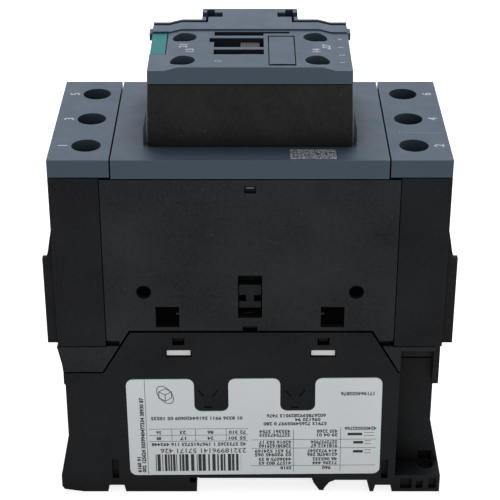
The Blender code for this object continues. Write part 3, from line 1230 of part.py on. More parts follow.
def make_aux_contacts():
    for row, kind in ((AUX_ROW_NO, "no"), (AUX_ROW_NC, "nc")):
        across = (row - AUX_STRIP_WIDTH / 2, row + AUX_STRIP_WIDTH / 2)
        for side in (-1, 1):
            number = {("no", -1): 13, ("no", 1): 14, ("nc", -1): 21, ("nc", 1): 22}[kind, side]
            strip_z = (AUX_STRIP_Z, AUX_STRIP_TOP_Z)
            finger_end = AUX_FINGER_X + AUX_TIP_LENGTH
            tip_x = turned(side, AUX_FINGER_X, finger_end)
            if kind == "no":
                strip = block(turned(side, AUX_BEND, AUX_STRIP_END_X), across, strip_z)
                web_x = turned(side, AUX_BEND, AUX_BEND + AUX_STRIP)
                join(strip, block(web_x, across, (NO_FINGER_Z, AUX_STRIP_TOP_Z)))
                finger_x = turned(side, AUX_FINGER_X, AUX_BEND + AUX_STRIP)
                join(strip, block(finger_x, across, (NO_FINGER_Z, NO_FINGER_Z + AUX_STRIP)))
                join(strip, block(tip_x, across, (NO_TIP_Z - 2 * AUX_TIP, NO_TIP_Z)))
            else:
                strip = block(turned(side, AUX_FINGER_X, AUX_STRIP_END_X), across, strip_z)
                join(strip, block(tip_x, across, (NC_TIP_Z, NC_TIP_Z + 2 * AUX_TIP)))
            axis = (side * AUX_SCREW_X, row)
            bore = (AUX_STRIP_Z - CUT, AUX_STRIP_TOP_Z + CUT)
            cut(strip, rod(axis, AUX_SCREW_SHANK + 2 * FIT, bore, sides=SMALL_SIDES))
            part(strip, f"aux_contact_{number}", COPPER)

            head_top = AUX_HEAD_Z + AUX_SCREW_HEAD_HEIGHT
            screw = rod(axis, AUX_SCREW_HEAD, (AUX_HEAD_Z, head_top))
            shank_z = (AUX_HEAD_Z - AUX_SCREW_DEPTH, AUX_HEAD_Z + LAP)
            join(screw, rod(axis, AUX_SCREW_SHANK, shank_z, sides=SMALL_SIDES))
            cross_recess(screw, axis, head_top, AUX_RECESS, AUX_RECESS_WIDTH, AUX_RECESS_LENGTH)
            part(screw, f"aux_screw_{number}", STEEL, (*axis, AUX_HEAD_Z))

    bridge_half = AUX_FINGER_X + AUX_TIP_LENGTH
    for name, row, bridge_z, tip_low, tip_high in (
        ("aux_bridge_no", AUX_ROW_NO, NO_BRIDGE_Z, NO_BRIDGE_Z - AUX_TIP, NO_BRIDGE_Z + AUX_TIP),
        ("aux_bridge_nc", AUX_ROW_NC, NC_BRIDGE_Z, NC_BRIDGE_Z, NC_TIP_Z - FIT),
    ):
        across = (row - AUX_BRIDGE_WIDTH / 2, row + AUX_BRIDGE_WIDTH / 2)
        bridge = block(even(bridge_half), across, (bridge_z, bridge_z + AUX_BRIDGE))
        for tip_x in both(AUX_FINGER_X, bridge_half):
            join(bridge, block(tip_x, across, (tip_low, tip_high)))
        part(bridge, name, COPPER, (0.0, row, bridge_z))

    slider_top = HOOD_INSIDE_Z - FIT
    slider_y = (SLIDER_FRONT, SLIDER_BACK)
    slider_z = (AUX_FLOOR_Z + MAGNET_TRAVEL + FIT, slider_top)
    slider = block(even(SLIDER_HALF), slider_y, slider_z)
    foot_z = (FRONT_Z, slider_z[0] + LAP)
    join(slider, block(even(SLIDER_HALF), even(SLIDER_FOOT_HALF), foot_z))
    pad_z = (slider_top - LAP, HOOD_FRONT_Z - INDICATOR_RECESS)
    for low, high in WINDOW_ROWS[1:]:
        join(slider, block(even(SLIDER_HALF), (low + SLIP, high - 2 * SLIP), pad_z))
    for row, bridge_z in ((AUX_ROW_NO, NO_BRIDGE_Z), (AUX_ROW_NC, NC_BRIDGE_Z)):
        opening_y = (row - AUX_BRIDGE_WIDTH / 2 - FIT, row + AUX_BRIDGE_WIDTH / 2 + FIT)
        opening_z = (bridge_z - FIT, bridge_z + AUX_BRIDGE + SLIDER_WINDOW_ROOM)
        cut(slider, block(even(SLIDER_HALF + CUT), opening_y, opening_z))
    part(slider, "aux_slider", GREY, (0.0, 0.0, FRONT_Z))


def hood_profile(top):
    half, crown, ramp = AUX_HALF + HOOD_LIP, HOOD_CROWN_HALF, HOOD_CROWN_HALF + HOOD_RAMP
    right = [(half, HOOD_Z), (half, top - HOOD_CROWN), (ramp, top - HOOD_CROWN), (crown, top)]
    return right + [(-x, z) for x, z in reversed(right)]


def make_hood():
    hood = extruded(hood_profile(HOOD_FRONT_Z), (-AUX_FRONT, HOOD_STEP_Y + LAP))
    join(hood, extruded(hood_profile(HOOD_TOP_Z), (HOOD_STEP_Y, AUX_BACK)))
    join(hood, block(even(AUX_REAR_HALF), (AUX_BACK - LAP, HALF_Y), (HOOD_Z, HOOD_TOP_Z)))
    for side in (1, -1):
        nub_x = turned(side, AUX_HALF - LAP, AUX_HALF + AUX_NUB_REACH)
        nub_y = (AUX_NUB_MIDDLE - AUX_NUB_WIDTH / 2, AUX_NUB_MIDDLE + AUX_NUB_WIDTH / 2)
        nub_top = HOOD_FRONT_Z - HOOD_CROWN - FIT
        join(hood, block(nub_x, nub_y, (max(HOOD_Z, nub_top - AUX_NUB_DROP), nub_top)))
    low = HOOD_Z - CUT
    lean = HOOD_LEAN / (HOOD_FRONT_Z - HOOD_Z)
    outside = -AUX_FRONT - CUT
    lean_foot = (outside, -AUX_FRONT - lean * CUT)
    lean_top = (outside, -AUX_FRONT + lean * (HOOD_TOP_Z + CUT - HOOD_Z))
    wedge_x = even(AUX_HALF + CUT)
    cut(hood, tapered(wedge_x, lean_foot, (low, HOOD_TOP_Z + CUT), wedge_x, lean_top))
    inner_y = (-AUX_FRONT + HOOD_SKIRT + HOOD_LEAN, AUX_BACK - HOOD_SKIRT)
    cut(hood, block(even(AUX_HALF - HOOD_SKIRT), inner_y, (low, HOOD_INSIDE_Z)))
    rear_y = (AUX_BACK - HOOD_SKIRT - LAP, HALF_Y - HOOD_SKIRT)
    cut(hood, block(even(AUX_REAR_HALF - HOOD_SKIRT), rear_y, (low, HOOD_INSIDE_Z)))
    through = (HOOD_INSIDE_Z - CUT, HOOD_TOP_Z + CUT)
    for row in (AUX_ROW_NO, AUX_ROW_NC):
        for x in (AUX_SCREW_X, -AUX_SCREW_X):
            cut(hood, rod((x, row), AUX_DRIVER_HOLE, through))
    for row in WINDOW_ROWS:
        cut(hood, block((WINDOW_LEFT, WINDOW_RIGHT), row, through))
    slit_y = (WINDOW_ROWS[0][1] - WINDOW_SLIT_WIDTH, WINDOW_ROWS[0][1])
    cut(hood, block((WINDOW_RIGHT - LAP, WINDOW_RIGHT + WINDOW_SLIT), slit_y, through))
    ear_y = (WINDOW_ROWS[1][1] - WINDOW_EAR_WIDTH, WINDOW_ROWS[1][1])
    cut(hood, block((WINDOW_LEFT - WINDOW_EAR, WINDOW_LEFT + LAP), ear_y, through))
    groove_back = AUX_BACK - HOOD_RIM
    groove_z = (HOOD_TOP_Z - HOOD_CROWN - HOOD_GROOVE_DEPTH, HOOD_TOP_Z + CUT)
    for side in (1, -1):
        slot_half, slit_half = COIL_SLOT_WIDTH / 2, COIL_SLIT_WIDTH / 2
        slot = turned(side, COIL_SLOT_MIDDLE - slot_half, COIL_SLOT_MIDDLE + slot_half)
        slit = turned(side, COIL_SLIT_MIDDLE - slit_half, COIL_SLIT_MIDDLE + slit_half)
        arm = turned(side, COIL_SLOT_ARM_START, AUX_REAR_HALF + CUT)
        arm_y = (COIL_SLOT_FRONT, COIL_SLOT_FRONT + COIL_SLOT_ARM_DEPTH)
        groove = turned(side, COIL_SLIT_MIDDLE - slit_half, AUX_HALF + CUT)
        cut(hood, block(slot, (COIL_SLOT_FRONT + LAP, COIL_SLOT_BACK), through))
        cut(hood, block(arm, arm_y, through))
        cut(hood, block(slit, (groove_back - LAP, COIL_SLOT_FRONT + LAP), groove_z))
        cut(hood, block(groove, (groove_back - HOOD_GROOVE, groove_back), groove_z))
    plate_x = (PLATE_LEFT, PLATE_LEFT + PLATE_WIDTH)
    plate_y = (PLATE_FRONT, PLATE_FRONT + PLATE_LENGTH)
    recess_x = (plate_x[0] - FIT, plate_x[1] + FIT)
    recess_y = (plate_y[0] - PLATE_FRONT_GAP, plate_y[1] + PLATE_BACK_GAP)
    cut(hood, block(recess_x, recess_y, (HOOD_FRONT_Z - PLATE_RECESS, HOOD_TOP_Z + CUT)))
    inlay_x = (-AUX_HALF, -AUX_HALF + INLAY_WIDTH)
    inlay_y = (INLAY_FRONT, INLAY_FRONT + INLAY_LENGTH)
    bed_z = HOOD_FRONT_Z - HOOD_CROWN - INLAY_RECESS
    bed_x, bed_y = (inlay_x[0] - CUT, inlay_x[1] + FIT), (inlay_y[0] - FIT, inlay_y[1] + FIT)
    cut(hood, block(bed_x, bed_y, (bed_z, HOOD_TOP_Z + CUT)))
    part(hood, "aux_hood", GREY)
    plate_z = HOOD_FRONT_Z - PLATE_RECESS + FIT / 2
    plate = block(plate_x, plate_y, (plate_z, plate_z + PLATE_THICK))
    part(plate, "device_label_plate", GREY)
    inlay_z = bed_z + FIT / 2
    part(block(inlay_x, inlay_y, (inlay_z, inlay_z + INLAY_THICK)), "marking_inlay", TEAL)


make_base()
make_latch()
make_magnet()
make_carrier()
make_terminals()
make_pole_housing()
make_terminal_block(-1, "line_terminal_block")
make_terminal_block(1, "load_terminal_block")
make_terminal_cover(-1, "line_terminal_cover")
make_terminal_cover(1, "load_terminal_cover")
make_front_cover()
make_aux_housing()
make_coil_terminal(-1, "coil_terminal_1")
make_coil_terminal(1, "coil_terminal_2")
make_aux_contacts()
make_hood()
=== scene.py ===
"""Looks of the rail contactor: finishes, print, wound springs, studio light and camera.

Lengths are in metres. +Z points to the front of the device, -Y to the side with the label.
"""

import math

import bmesh
import bpy
from mathutils import Matrix, Vector


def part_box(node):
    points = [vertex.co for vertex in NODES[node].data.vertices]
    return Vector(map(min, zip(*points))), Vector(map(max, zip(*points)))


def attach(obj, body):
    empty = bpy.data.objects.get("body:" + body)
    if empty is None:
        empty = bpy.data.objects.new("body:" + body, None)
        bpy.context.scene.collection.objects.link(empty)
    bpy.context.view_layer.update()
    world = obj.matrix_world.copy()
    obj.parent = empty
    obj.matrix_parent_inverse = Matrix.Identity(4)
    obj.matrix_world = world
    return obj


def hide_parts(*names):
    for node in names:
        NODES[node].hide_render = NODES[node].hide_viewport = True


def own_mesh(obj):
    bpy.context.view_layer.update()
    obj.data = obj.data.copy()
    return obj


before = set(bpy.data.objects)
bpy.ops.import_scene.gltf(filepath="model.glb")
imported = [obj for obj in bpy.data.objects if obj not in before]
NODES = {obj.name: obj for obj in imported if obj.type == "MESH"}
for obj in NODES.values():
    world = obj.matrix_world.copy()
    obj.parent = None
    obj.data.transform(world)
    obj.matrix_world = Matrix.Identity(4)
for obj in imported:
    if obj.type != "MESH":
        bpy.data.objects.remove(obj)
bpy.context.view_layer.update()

# Camera, solved from the photograph
LENS = 114.87
SENSOR = 36.0
CAMERA_PLACE = (0.0, -0.41044, 0.28628)
CAMERA_TILT = math.radians(61.822)
CLIP_START = 0.01

# Edges and shading of the moulded and pressed pieces
WELD = 0.000004
BEVEL_ANGLE = math.radians(35.0)
SMOOTH_ANGLE = math.radians(40.0)
EDGE_ROUND = {
    "black_plastic": 0.00013,
    "blue_grey_plastic": 0.00016,
    "ivory_plastic": 0.00012,
    "zinc_plated_steel": 0.00015,
    "copper": 0.0001,
    "core_steel": 0.0001,
    "rubber": 0.0001,
}
EDGE_STEPS = 2

# The parts of a noise that are stretched to its full run
NOISE_MIDDLE = (0.3, 0.7)
NOISE_STEEP = (0.35, 0.65)
NOISE_PATCHES = (0.35, 0.7)
NOISE_PEAKS = (0.4, 0.7)
NOISE_RARE = (0.4, 0.75)
ROUGH_DETAIL = 3.0
FULL_RUN = (0.0, 1.0)

# Moulded plastic
BROAD_TONE = 0.022
BROAD_SHARE = 0.7
FINE_TONE = 0.0012
FINE_SHARE = 0.3
FINE_DETAIL = 5.0
GRAIN_SHARE = 0.5
GLOSS_PATCH = 0.006
GLOSS_CHANGE = 0.06
WORN_REACH = 0.0005
WORN_BEND = (0.995, 0.85)
WORN_TONE = 1.9
WORN_SAMPLES = 4
# Painted shade: how far to look for nearby surfaces, and how dark corners and holes are painted
CREVICE_SHADE_REACH = 0.009
CREVICE_SHADE_OPEN = (0.25, 0.9)
CREVICE_SHADE_TONE = 0.2
CREVICE_SHADE_SAMPLES = 8
NO_LIGHT = (0.0, 0.0, 0.0, 1.0)
DUST_SPACING = 0.0030
DUST_SPECK = 0.00012
DUST_CELLS = 0.5
DUST_COLOUR = (0.30, 0.31, 0.32, 1.0)

# Label film
FILM_COLOUR = (0.775, 0.825, 0.85)
FILM_ROUGHNESS = 0.38
FILM_SPECULAR = 0.2
STREAK_STRETCH = (0.06, 1.0, 1.0)
STREAK = 0.0005
STREAK_DEPTH = 0.000004
STREAK_SHEEN_TONES = (0.97, 1.02)
FILM_CLOUD = 0.016
FILM_CLOUD_SHARE = 0.5
FILM_CLOUD_TONE = 0.93
FILM_GLOSS = (0.32, 0.46)

# Metals, and the stacked sheets and laid wire
STAIN_DETAIL = 4.0
DRAWN_STRETCH = (1.0, 1.0, 0.05)
DRAWN_LINE = 0.00012
STAIN_GLOSS = (-0.06, 0.14)
WAVE_RATE = 20
WAVE_BEND = 0.6
WAVE_DETAIL = 1.0
GROOVE_PART = (0.05, 0.5)
BAND_CLOUD = 0.004
BAND_TONES = (0.8, 1.15)

# Ink, and the painted shade inside deep openings
INK_SPECULAR = 0.3
INK_PATCH = 0.0009
INK_THIN = 0.88
HOLLOW_SHADE_ROUGHNESS = 0.9
HOLLOW_SHADE_SPECULAR = 0.02
HOLLOW_SHADE_PATCH = 0.001
HOLLOW_SHADE_TONES = (0.6, 1.4)

# Print: its thickness, the width of a rule, and the shape of the figures
PRINT = 0.00002
RULE = 0.00013
CAP_HEIGHT = 0.7
BOLDNESS = 0.02
NUMERAL_CURVES = 4
LINE_CURVES = 2
FACE_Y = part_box("rating_label")[0].y


def add(tree, kind, inputs=None, **settings):
    """A node with its settings, and its inputs set to values or linked to other sockets."""
    node = tree.nodes.new(kind)
    for key, value in settings.items():
        setattr(node, key, value)
    for key, value in (inputs or {}).items():
        if isinstance(value, bpy.types.NodeSocket):
            tree.links.new(value, node.inputs[key])
        else:
            node.inputs[key].default_value = value
    return node


def noise(tree, place, size, detail=2.0):
    """Noise from 0 to 1 whose blobs are about size across."""
    node = add(tree, "ShaderNodeTexNoise", {"Vector": place, "Scale": 1 / size, "Detail": detail})
    return node.outputs[0]


def spread(tree, value, start, end, low, high):
    """A value between start and end, stretched to run from low to high."""
    inputs = {"Value": value, "From Min": start, "From Max": end, "To Min": low, "To Max": high}
    return add(tree, "ShaderNodeMapRange", inputs).outputs[0]


def mixed(tree, factor, first, second):
    node = add(tree, "ShaderNodeMix", {0: factor, 6: first, 7: second}, data_type="RGBA")
    return node.outputs[2]


def calculated(tree, operation, first, second):
    return add(tree, "ShaderNodeMath", {0: first, 1: second}, operation=operation).outputs[0]


def shade(colour, factor):
    return (*(channel * factor for channel in colour), 1.0)


def new_look(name, roughness, metallic=0.0, specular=0.5):
    made = bpy.data.materials.new(name)
    made.use_nodes = True
    tree = made.node_tree
    shader = tree.nodes["Principled BSDF"]
    shader.inputs["Roughness"].default_value = roughness
    shader.inputs["Metallic"].default_value = metallic
    shader.inputs["Specular IOR Level"].default_value = specular
    place = add(tree, "ShaderNodeTexCoord").outputs["Object"]
    return made, tree, shader, place


def add_bump(tree, shader, height, depth):
    bump = add(tree, "ShaderNodeBump", {"Height": height, "Distance": depth, "Strength": 1.0})
    tree.links.new(bump.outputs[0], shader.inputs["Normal"])


def dust_mask(tree, place):
    """Sparse round specks: about half of the cells of a random pattern hold one."""
    cells = add(tree, "ShaderNodeTexVoronoi", {"Vector": place, "Scale": 1 / DUST_SPACING})
    small = calculated(tree, "LESS_THAN", cells.outputs["Distance"], DUST_SPECK / DUST_SPACING)
    lot = add(tree, "ShaderNodeSeparateColor", {"Color": cells.outputs["Color"]}).outputs[0]
    return calculated(tree, "MULTIPLY", small, calculated(tree, "GREATER_THAN", lot, DUST_CELLS))


def edge_mask(tree):
    """One along sharp edges and nought on flats, from the normal of a rounded copy of the surface."""
    rounded = add(tree, "ShaderNodeBevel", {"Radius": WORN_REACH}, samples=WORN_SAMPLES)
    flat = add(tree, "ShaderNodeNewGeometry")
    inputs = {0: rounded.outputs[0], 1: flat.outputs["Normal"]}
    alike = add(tree, "ShaderNodeVectorMath", inputs, operation="DOT_PRODUCT")
    return spread(tree, alike.outputs["Value"], *WORN_BEND, *FULL_RUN)


def painted_crevice_shade(tree):
    """Painted shade: one on open faces, falling in corners and down holes."""
    near = add(tree, "ShaderNodeAmbientOcclusion", {"Distance": CREVICE_SHADE_REACH}, samples=CREVICE_SHADE_SAMPLES)
    return spread(tree, near.outputs["AO"], *CREVICE_SHADE_OPEN, CREVICE_SHADE_TONE, 1.0)


def plastic(name, colour, roughness, specular, mottle, grain_size, grain_depth, dust, worn):
    """Moulded plastic: broad and fine tones, eroded grain, worn edges, painted shade in corners and some
    dust.
    """
    made, tree, shader, place = new_look(name, roughness, specular=specular)
    broad = spread(tree, noise(tree, place, BROAD_TONE, ROUGH_DETAIL), *NOISE_MIDDLE, 0.0, BROAD_SHARE)
    fine = spread(tree, noise(tree, place, FINE_TONE, FINE_DETAIL), *NOISE_STEEP, 0.0, FINE_SHARE)
    tone = calculated(tree, "ADD", broad, fine)
    base = mixed(tree, tone, shade(colour, 1 - mottle), shade(colour, 1 + mottle))
    grain = noise(tree, place, grain_size, ROUGH_DETAIL)
    speckle = spread(tree, grain, *NOISE_PEAKS, 0.0, GRAIN_SHARE)
    base = mixed(tree, speckle, base, shade(colour, 1 + mottle))
    edges = calculated(tree, "MULTIPLY", edge_mask(tree), worn)
    base = mixed(tree, edges, base, shade(colour, WORN_TONE))
    # Painted shade in corners, down holes and beside other parts
    base = mixed(tree, painted_crevice_shade(tree), NO_LIGHT, base)
    if dust:
        specks = calculated(tree, "MULTIPLY", dust_mask(tree, place), dust)
        base = mixed(tree, specks, base, DUST_COLOUR)
    tree.links.new(base, shader.inputs["Base Color"])
    patches = noise(tree, place, GLOSS_PATCH)
    gloss = spread(tree, patches, *NOISE_MIDDLE, roughness - GLOSS_CHANGE, roughness + GLOSS_CHANGE)
    tree.links.new(gloss, shader.inputs["Roughness"])
    add_bump(tree, shader, grain, grain_depth)
    return made


def film():
    """Silver-grey printed film with faint brushed streaks in its relief, a painted sheen along them in its
    colour, and handling marks.
    """
    made, tree, shader, place = new_look("film", FILM_ROUGHNESS, specular=FILM_SPECULAR)
    stretched = add(tree, "ShaderNodeMapping", {"Vector": place, "Scale": STREAK_STRETCH}).outputs[0]
    streaks = noise(tree, stretched, STREAK)
    cloud = noise(tree, place, FILM_CLOUD)
    # Painted sheen: the colour a little lighter and darker along the brushing streaks
    dull, bright = STREAK_SHEEN_TONES
    base = mixed(tree, streaks, shade(FILM_COLOUR, dull), shade(FILM_COLOUR, bright))
    handled = spread(tree, cloud, *NOISE_RARE, 0.0, FILM_CLOUD_SHARE)
    base = mixed(tree, handled, base, shade(FILM_COLOUR, FILM_CLOUD_TONE))
    tree.links.new(base, shader.inputs["Base Color"])
    tree.links.new(spread(tree, cloud, *NOISE_MIDDLE, *FILM_GLOSS), shader.inputs["Roughness"])
    add_bump(tree, shader, streaks, STREAK_DEPTH)
    return made


def metal(name, colour, roughness, stain, stain_size, scratch):
    """Metal with cloudy stains and fine drawn scratches."""
    made, tree, shader, place = new_look(name, roughness, metallic=1.0)
    cloud = spread(tree, noise(tree, place, stain_size, STAIN_DETAIL), *NOISE_PATCHES, *FULL_RUN)
    drawn = add(tree, "ShaderNodeMapping", {"Vector": place, "Scale": DRAWN_STRETCH}).outputs[0]
    lines = noise(tree, drawn, DRAWN_LINE)
    tree.links.new(mixed(tree, cloud, shade(colour, 1.0), stain), shader.inputs["Base Color"])
    clean, stained = STAIN_GLOSS
    gloss = spread(tree, cloud, *FULL_RUN, roughness + clean, roughness + stained)
    tree.links.new(gloss, shader.inputs["Roughness"])
    add_bump(tree, shader, lines, scratch)
    return made


def banded(name, colour, groove, pitch, axis, roughness, metallic, depth):
    """Stacked sheets or laid wire: fine parallel bands with dark grooves between them."""
    made, tree, shader, place = new_look(name, roughness, metallic)
    scale = 2 * math.pi / WAVE_RATE / pitch
    inputs = {"Vector": place, "Scale": scale, "Distortion": WAVE_BEND, "Detail": WAVE_DETAIL}
    wave = add(tree, "ShaderNodeTexWave", inputs, bands_direction=axis).outputs["Fac"]
    tone = spread(tree, wave, *GROOVE_PART, *FULL_RUN)
    cloud = noise(tree, place, BAND_CLOUD, ROUGH_DETAIL)
    dull, bright = BAND_TONES
    base = mixed(tree, cloud, shade(colour, dull), shade(colour, bright))
    tree.links.new(mixed(tree, tone, groove, base), shader.inputs["Base Color"])
    add_bump(tree, shader, wave, depth)
    return made


def ink(name, colour, roughness):
    """Pad print: nearly even, a little thin in places."""
    made, tree, shader, place = new_look(name, roughness, specular=INK_SPECULAR)
    thin = spread(tree, noise(tree, place, INK_PATCH, ROUGH_DETAIL), *NOISE_PATCHES, *FULL_RUN)
    tone = mixed(tree, thin, shade(colour, INK_THIN), shade(colour, 1.0))
    tree.links.new(tone, shader.inputs["Base Color"])
    return made


def painted_hollow_shade(name, colour):
    """Painted shade for the dark inside of a deep opening, a little uneven."""
    made, tree, shader, place = new_look(name, HOLLOW_SHADE_ROUGHNESS, specular=HOLLOW_SHADE_SPECULAR)
    dull, bright = HOLLOW_SHADE_TONES
    tone = mixed(tree, noise(tree, place, HOLLOW_SHADE_PATCH), shade(colour, dull), shade(colour, bright))
    tree.links.new(tone, shader.inputs["Base Color"])
    return made


BLACK = (0.0186, 0.0203, 0.0214)
DEEP_BLACK = (0.0101, 0.0110, 0.0120)
AUX_BLACK = (0.0160, 0.0162, 0.0167)
GREY = (0.052, 0.076, 0.101)
IVORY = (0.88, 0.88, 0.87)
TEAL = (0.003, 0.112, 0.116)
SLIDER_GREY = (0.046, 0.045, 0.047)
RUBBER = (0.03, 0.03, 0.03)
ZINC = (0.60, 0.60, 0.58)
SPRING_WIRE = (0.10, 0.10, 0.11)
COPPER = (0.72, 0.38, 0.24)
SHEET_STEEL = (0.30, 0.30, 0.31)
ENAMEL_WIRE = (0.42, 0.16, 0.07)

# What the black plastics share
BLACK_MOULD = {"roughness": 0.50, "specular": 0.08, "grain_size": 0.00035, "grain_depth": 0.000012}

# The finish of each material, by its name in the frame
LOOKS = {
    "black_plastic": plastic("moulded_black", BLACK, mottle=0.50, dust=0.35, worn=0.35, **BLACK_MOULD),
    "blue_grey_plastic": plastic(
        "moulded_grey",
        GREY,
        roughness=0.46,
        specular=0.22,
        mottle=0.04,
        grain_size=0.00026,
        grain_depth=0.000008,
        dust=0.15,
        worn=0.30,
    ),
    "ivory_plastic": plastic(
        "moulded_ivory",
        IVORY,
        roughness=0.45,
        specular=0.3,
        mottle=0.03,
        grain_size=0.0003,
        grain_depth=0.000006,
        dust=0.0,
        worn=0.05,
    ),
    "teal_inlay": plastic(
        "moulded_teal",
        TEAL,
        roughness=0.42,
        specular=0.22,
        mottle=0.05,
        grain_size=0.0003,
        grain_depth=0.000005,
        dust=0.0,
        worn=0.1,
    ),
    "rubber": plastic(
        "soft_rubber",
        RUBBER,
        roughness=0.85,
        specular=0.3,
        mottle=0.2,
        grain_size=0.0004,
        grain_depth=0.00002,
        dust=0.0,
        worn=0.1,
    ),
    "label_film": film(),
    "zinc_plated_steel": metal(
        "zinc",
        ZINC,
        roughness=0.30,
        stain=(0.42, 0.43, 0.45, 1.0),
        stain_size=0.002,
        scratch=0.000004,
    ),
    "spring_steel": metal(
        "spring_wire",
        SPRING_WIRE,
        roughness=0.45,
        stain=(0.06, 0.06, 0.06, 1.0),
        stain_size=0.003,
        scratch=0.000003,
    ),
    "copper": metal(
        "bare_copper",
        COPPER,
        roughness=0.32,
        stain=(0.45, 0.22, 0.14, 1.0),
        stain_size=0.005,
        scratch=0.000003,
    ),
    "core_steel": banded(
        "sheet_stack",
        SHEET_STEEL,
        groove=(0.04, 0.04, 0.04, 1.0),
        pitch=0.0006,
        axis="Y",
        roughness=0.42,
        metallic=1.0,
        depth=0.00003,
    ),
    "winding_wire": banded(
        "laid_wire",
        ENAMEL_WIRE,
        groove=(0.06, 0.02, 0.01, 1.0),
        pitch=0.0004,
        axis="Z",
        roughness=0.30,
        metallic=0.7,
        depth=0.00008,
    ),
}
DEEP_LOOK = plastic("moulded_deep_black", DEEP_BLACK, mottle=0.50, dust=0.25, worn=0.35, **BLACK_MOULD)
AUX_LOOK = plastic("moulded_aux_black", AUX_BLACK, mottle=0.60, dust=0.4, worn=0.25, **BLACK_MOULD)
SLIDER_LOOK = plastic(
    "moulded_slider",
    SLIDER_GREY,
    roughness=0.50,
    specular=0.15,
    mottle=0.06,
    grain_size=0.0003,
    grain_depth=0.000006,
    dust=0.0,
    worn=0.1,
)

# Pieces whose finish differs from that of their material
NODE_LOOKS = {
    "aux_slider": SLIDER_LOOK,
    "contact_carrier": DEEP_LOOK,
    "base_housing": DEEP_LOOK,
    "rail_latch": DEEP_LOOK,
    "line_terminal_block": DEEP_LOOK,
    "load_terminal_block": DEEP_LOOK,
    "aux_housing": AUX_LOOK,
}
LIGHT_INK = ink("light_print", (0.34, 0.37, 0.40), 0.5)
FAINT_INK = ink("faint_print", (0.15, 0.18, 0.21), 0.5)
DARK_INK = ink("dark_print", (0.022, 0.023, 0.026), 0.45)
# Painted shade for the insides of the sockets and of the hood's windows
SOCKET_PAINTED_SHADE = painted_hollow_shade("painted_socket_shade", (0.0011, 0.0012, 0.0013))
WINDOW_PAINTED_SHADE = painted_hollow_shade("painted_window_shade", (0.0140, 0.0170, 0.0250))


def smooth_by_angle():
    """A node group that shades smooth across all edges flatter than an angle."""
    tree = bpy.data.node_groups.new("smooth_by_angle", "GeometryNodeTree")
    tree.interface.new_socket("Geometry", in_out="INPUT", socket_type="NodeSocketGeometry")
    tree.interface.new_socket("Geometry", in_out="OUTPUT", socket_type="NodeSocketGeometry")
    start = add(tree, "NodeGroupInput").outputs[0]
    angle = add(tree, "GeometryNodeInputMeshEdgeAngle").outputs["Unsigned Angle"]
    flat = add(tree, "FunctionNodeCompare", {0: angle, 1: SMOOTH_ANGLE}, operation="LESS_EQUAL")
    faces = add(tree, "GeometryNodeSetShadeSmooth", {"Geometry": start, "Shade Smooth": True}, domain="FACE")
    inputs = {"Geometry": faces.outputs[0], "Shade Smooth": flat.outputs[0]}
    edges = add(tree, "GeometryNodeSetShadeSmooth", inputs, domain="EDGE")
    add(tree, "NodeGroupOutput", {0: edges.outputs[0]})
    return tree


SMOOTHING = smooth_by_angle()


def soften(obj, width):
    """Rounds the sharp edges of a faceted piece and evens its shading."""
    weld = obj.modifiers.new("weld", "WELD")
    weld.merge_threshold = WELD
    if width:
        bevel = obj.modifiers.new("edges", "BEVEL")
        bevel.width = width
        bevel.segments = EDGE_STEPS
        bevel.limit_method = "ANGLE"
        bevel.angle_limit = BEVEL_ANGLE
        bevel.use_clamp_overlap = True
        bevel.miter_outer = "MITER_ARC"
    smooth = obj.modifiers.new("smooth", "NODES")
    smooth.node_group = SMOOTHING
    even = obj.modifiers.new("even", "WEIGHTED_NORMAL")
    even.keep_sharp = True


def dress_nodes():
    for name, node in NODES.items():
        slot = node.material_slots[0]
        finish = slot.material.name
        slot.material = NODE_LOOKS.get(name, LOOKS[finish])
        soften(node, EDGE_ROUND.get(finish))


def piece(name, mesh, look, body):
    """A new piece of the object, which rides on a body."""
    obj = bpy.data.objects.new(name, mesh)
    bpy.context.scene.collection.objects.link(obj)
    mesh.materials.append(look)
    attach(obj, body)
    return obj


def mesh_of(name, shape):
    bmesh.ops.recalc_face_normals(shape, faces=shape.faces)
    mesh = bpy.data.meshes.new(name)
    shape.to_mesh(mesh)
    shape.free()
    return mesh


def add_box(shape, x, y, z, turn=None):
    """A box from spans along the three axes, turned about its middle if asked."""
    made = bmesh.ops.create_cube(shape, size=1.0)["verts"]
    middle = Vector([(low + high) / 2 for low, high in (x, y, z)])
    size = Vector([high - low for low, high in (x, y, z)])
    place = Matrix.Translation(middle) @ (turn or Matrix.Identity(4)) @ Matrix.Diagonal((*size, 1.0))
    bmesh.ops.transform(shape, matrix=place, verts=made)


def add_numeral(shape, text, height, place, boldness, span=None):
    """A plain number as a thin raised print, centred on its own middle and drawn out to a span if asked."""
    curve = bpy.data.curves.new("numeral", "FONT")
    curve.body = text
    curve.size = height / CAP_HEIGHT
    curve.align_x = "CENTER"
    curve.align_y = "CENTER"
    curve.offset = height * boldness
    curve.extrude = PRINT / 2
    curve.resolution_u = LINE_CURVES if span else NUMERAL_CURVES
    holder = bpy.data.objects.new("numeral", curve)
    bpy.context.scene.collection.objects.link(holder)
    mesh = bpy.data.meshes.new_from_object(holder)
    bpy.data.objects.remove(holder)
    if span:
        places = [vertex.co.x for vertex in mesh.vertices]
        low, high = min(places), max(places)
        middle = Matrix.Translation((-(low + high) / 2, 0.0, 0.0))
        mesh.transform(Matrix.Diagonal((span / (high - low), 1.0, 1.0, 1.0)) @ middle)
    mesh.transform(place)
    shape.from_mesh(mesh)
    bpy.data.meshes.remove(mesh)


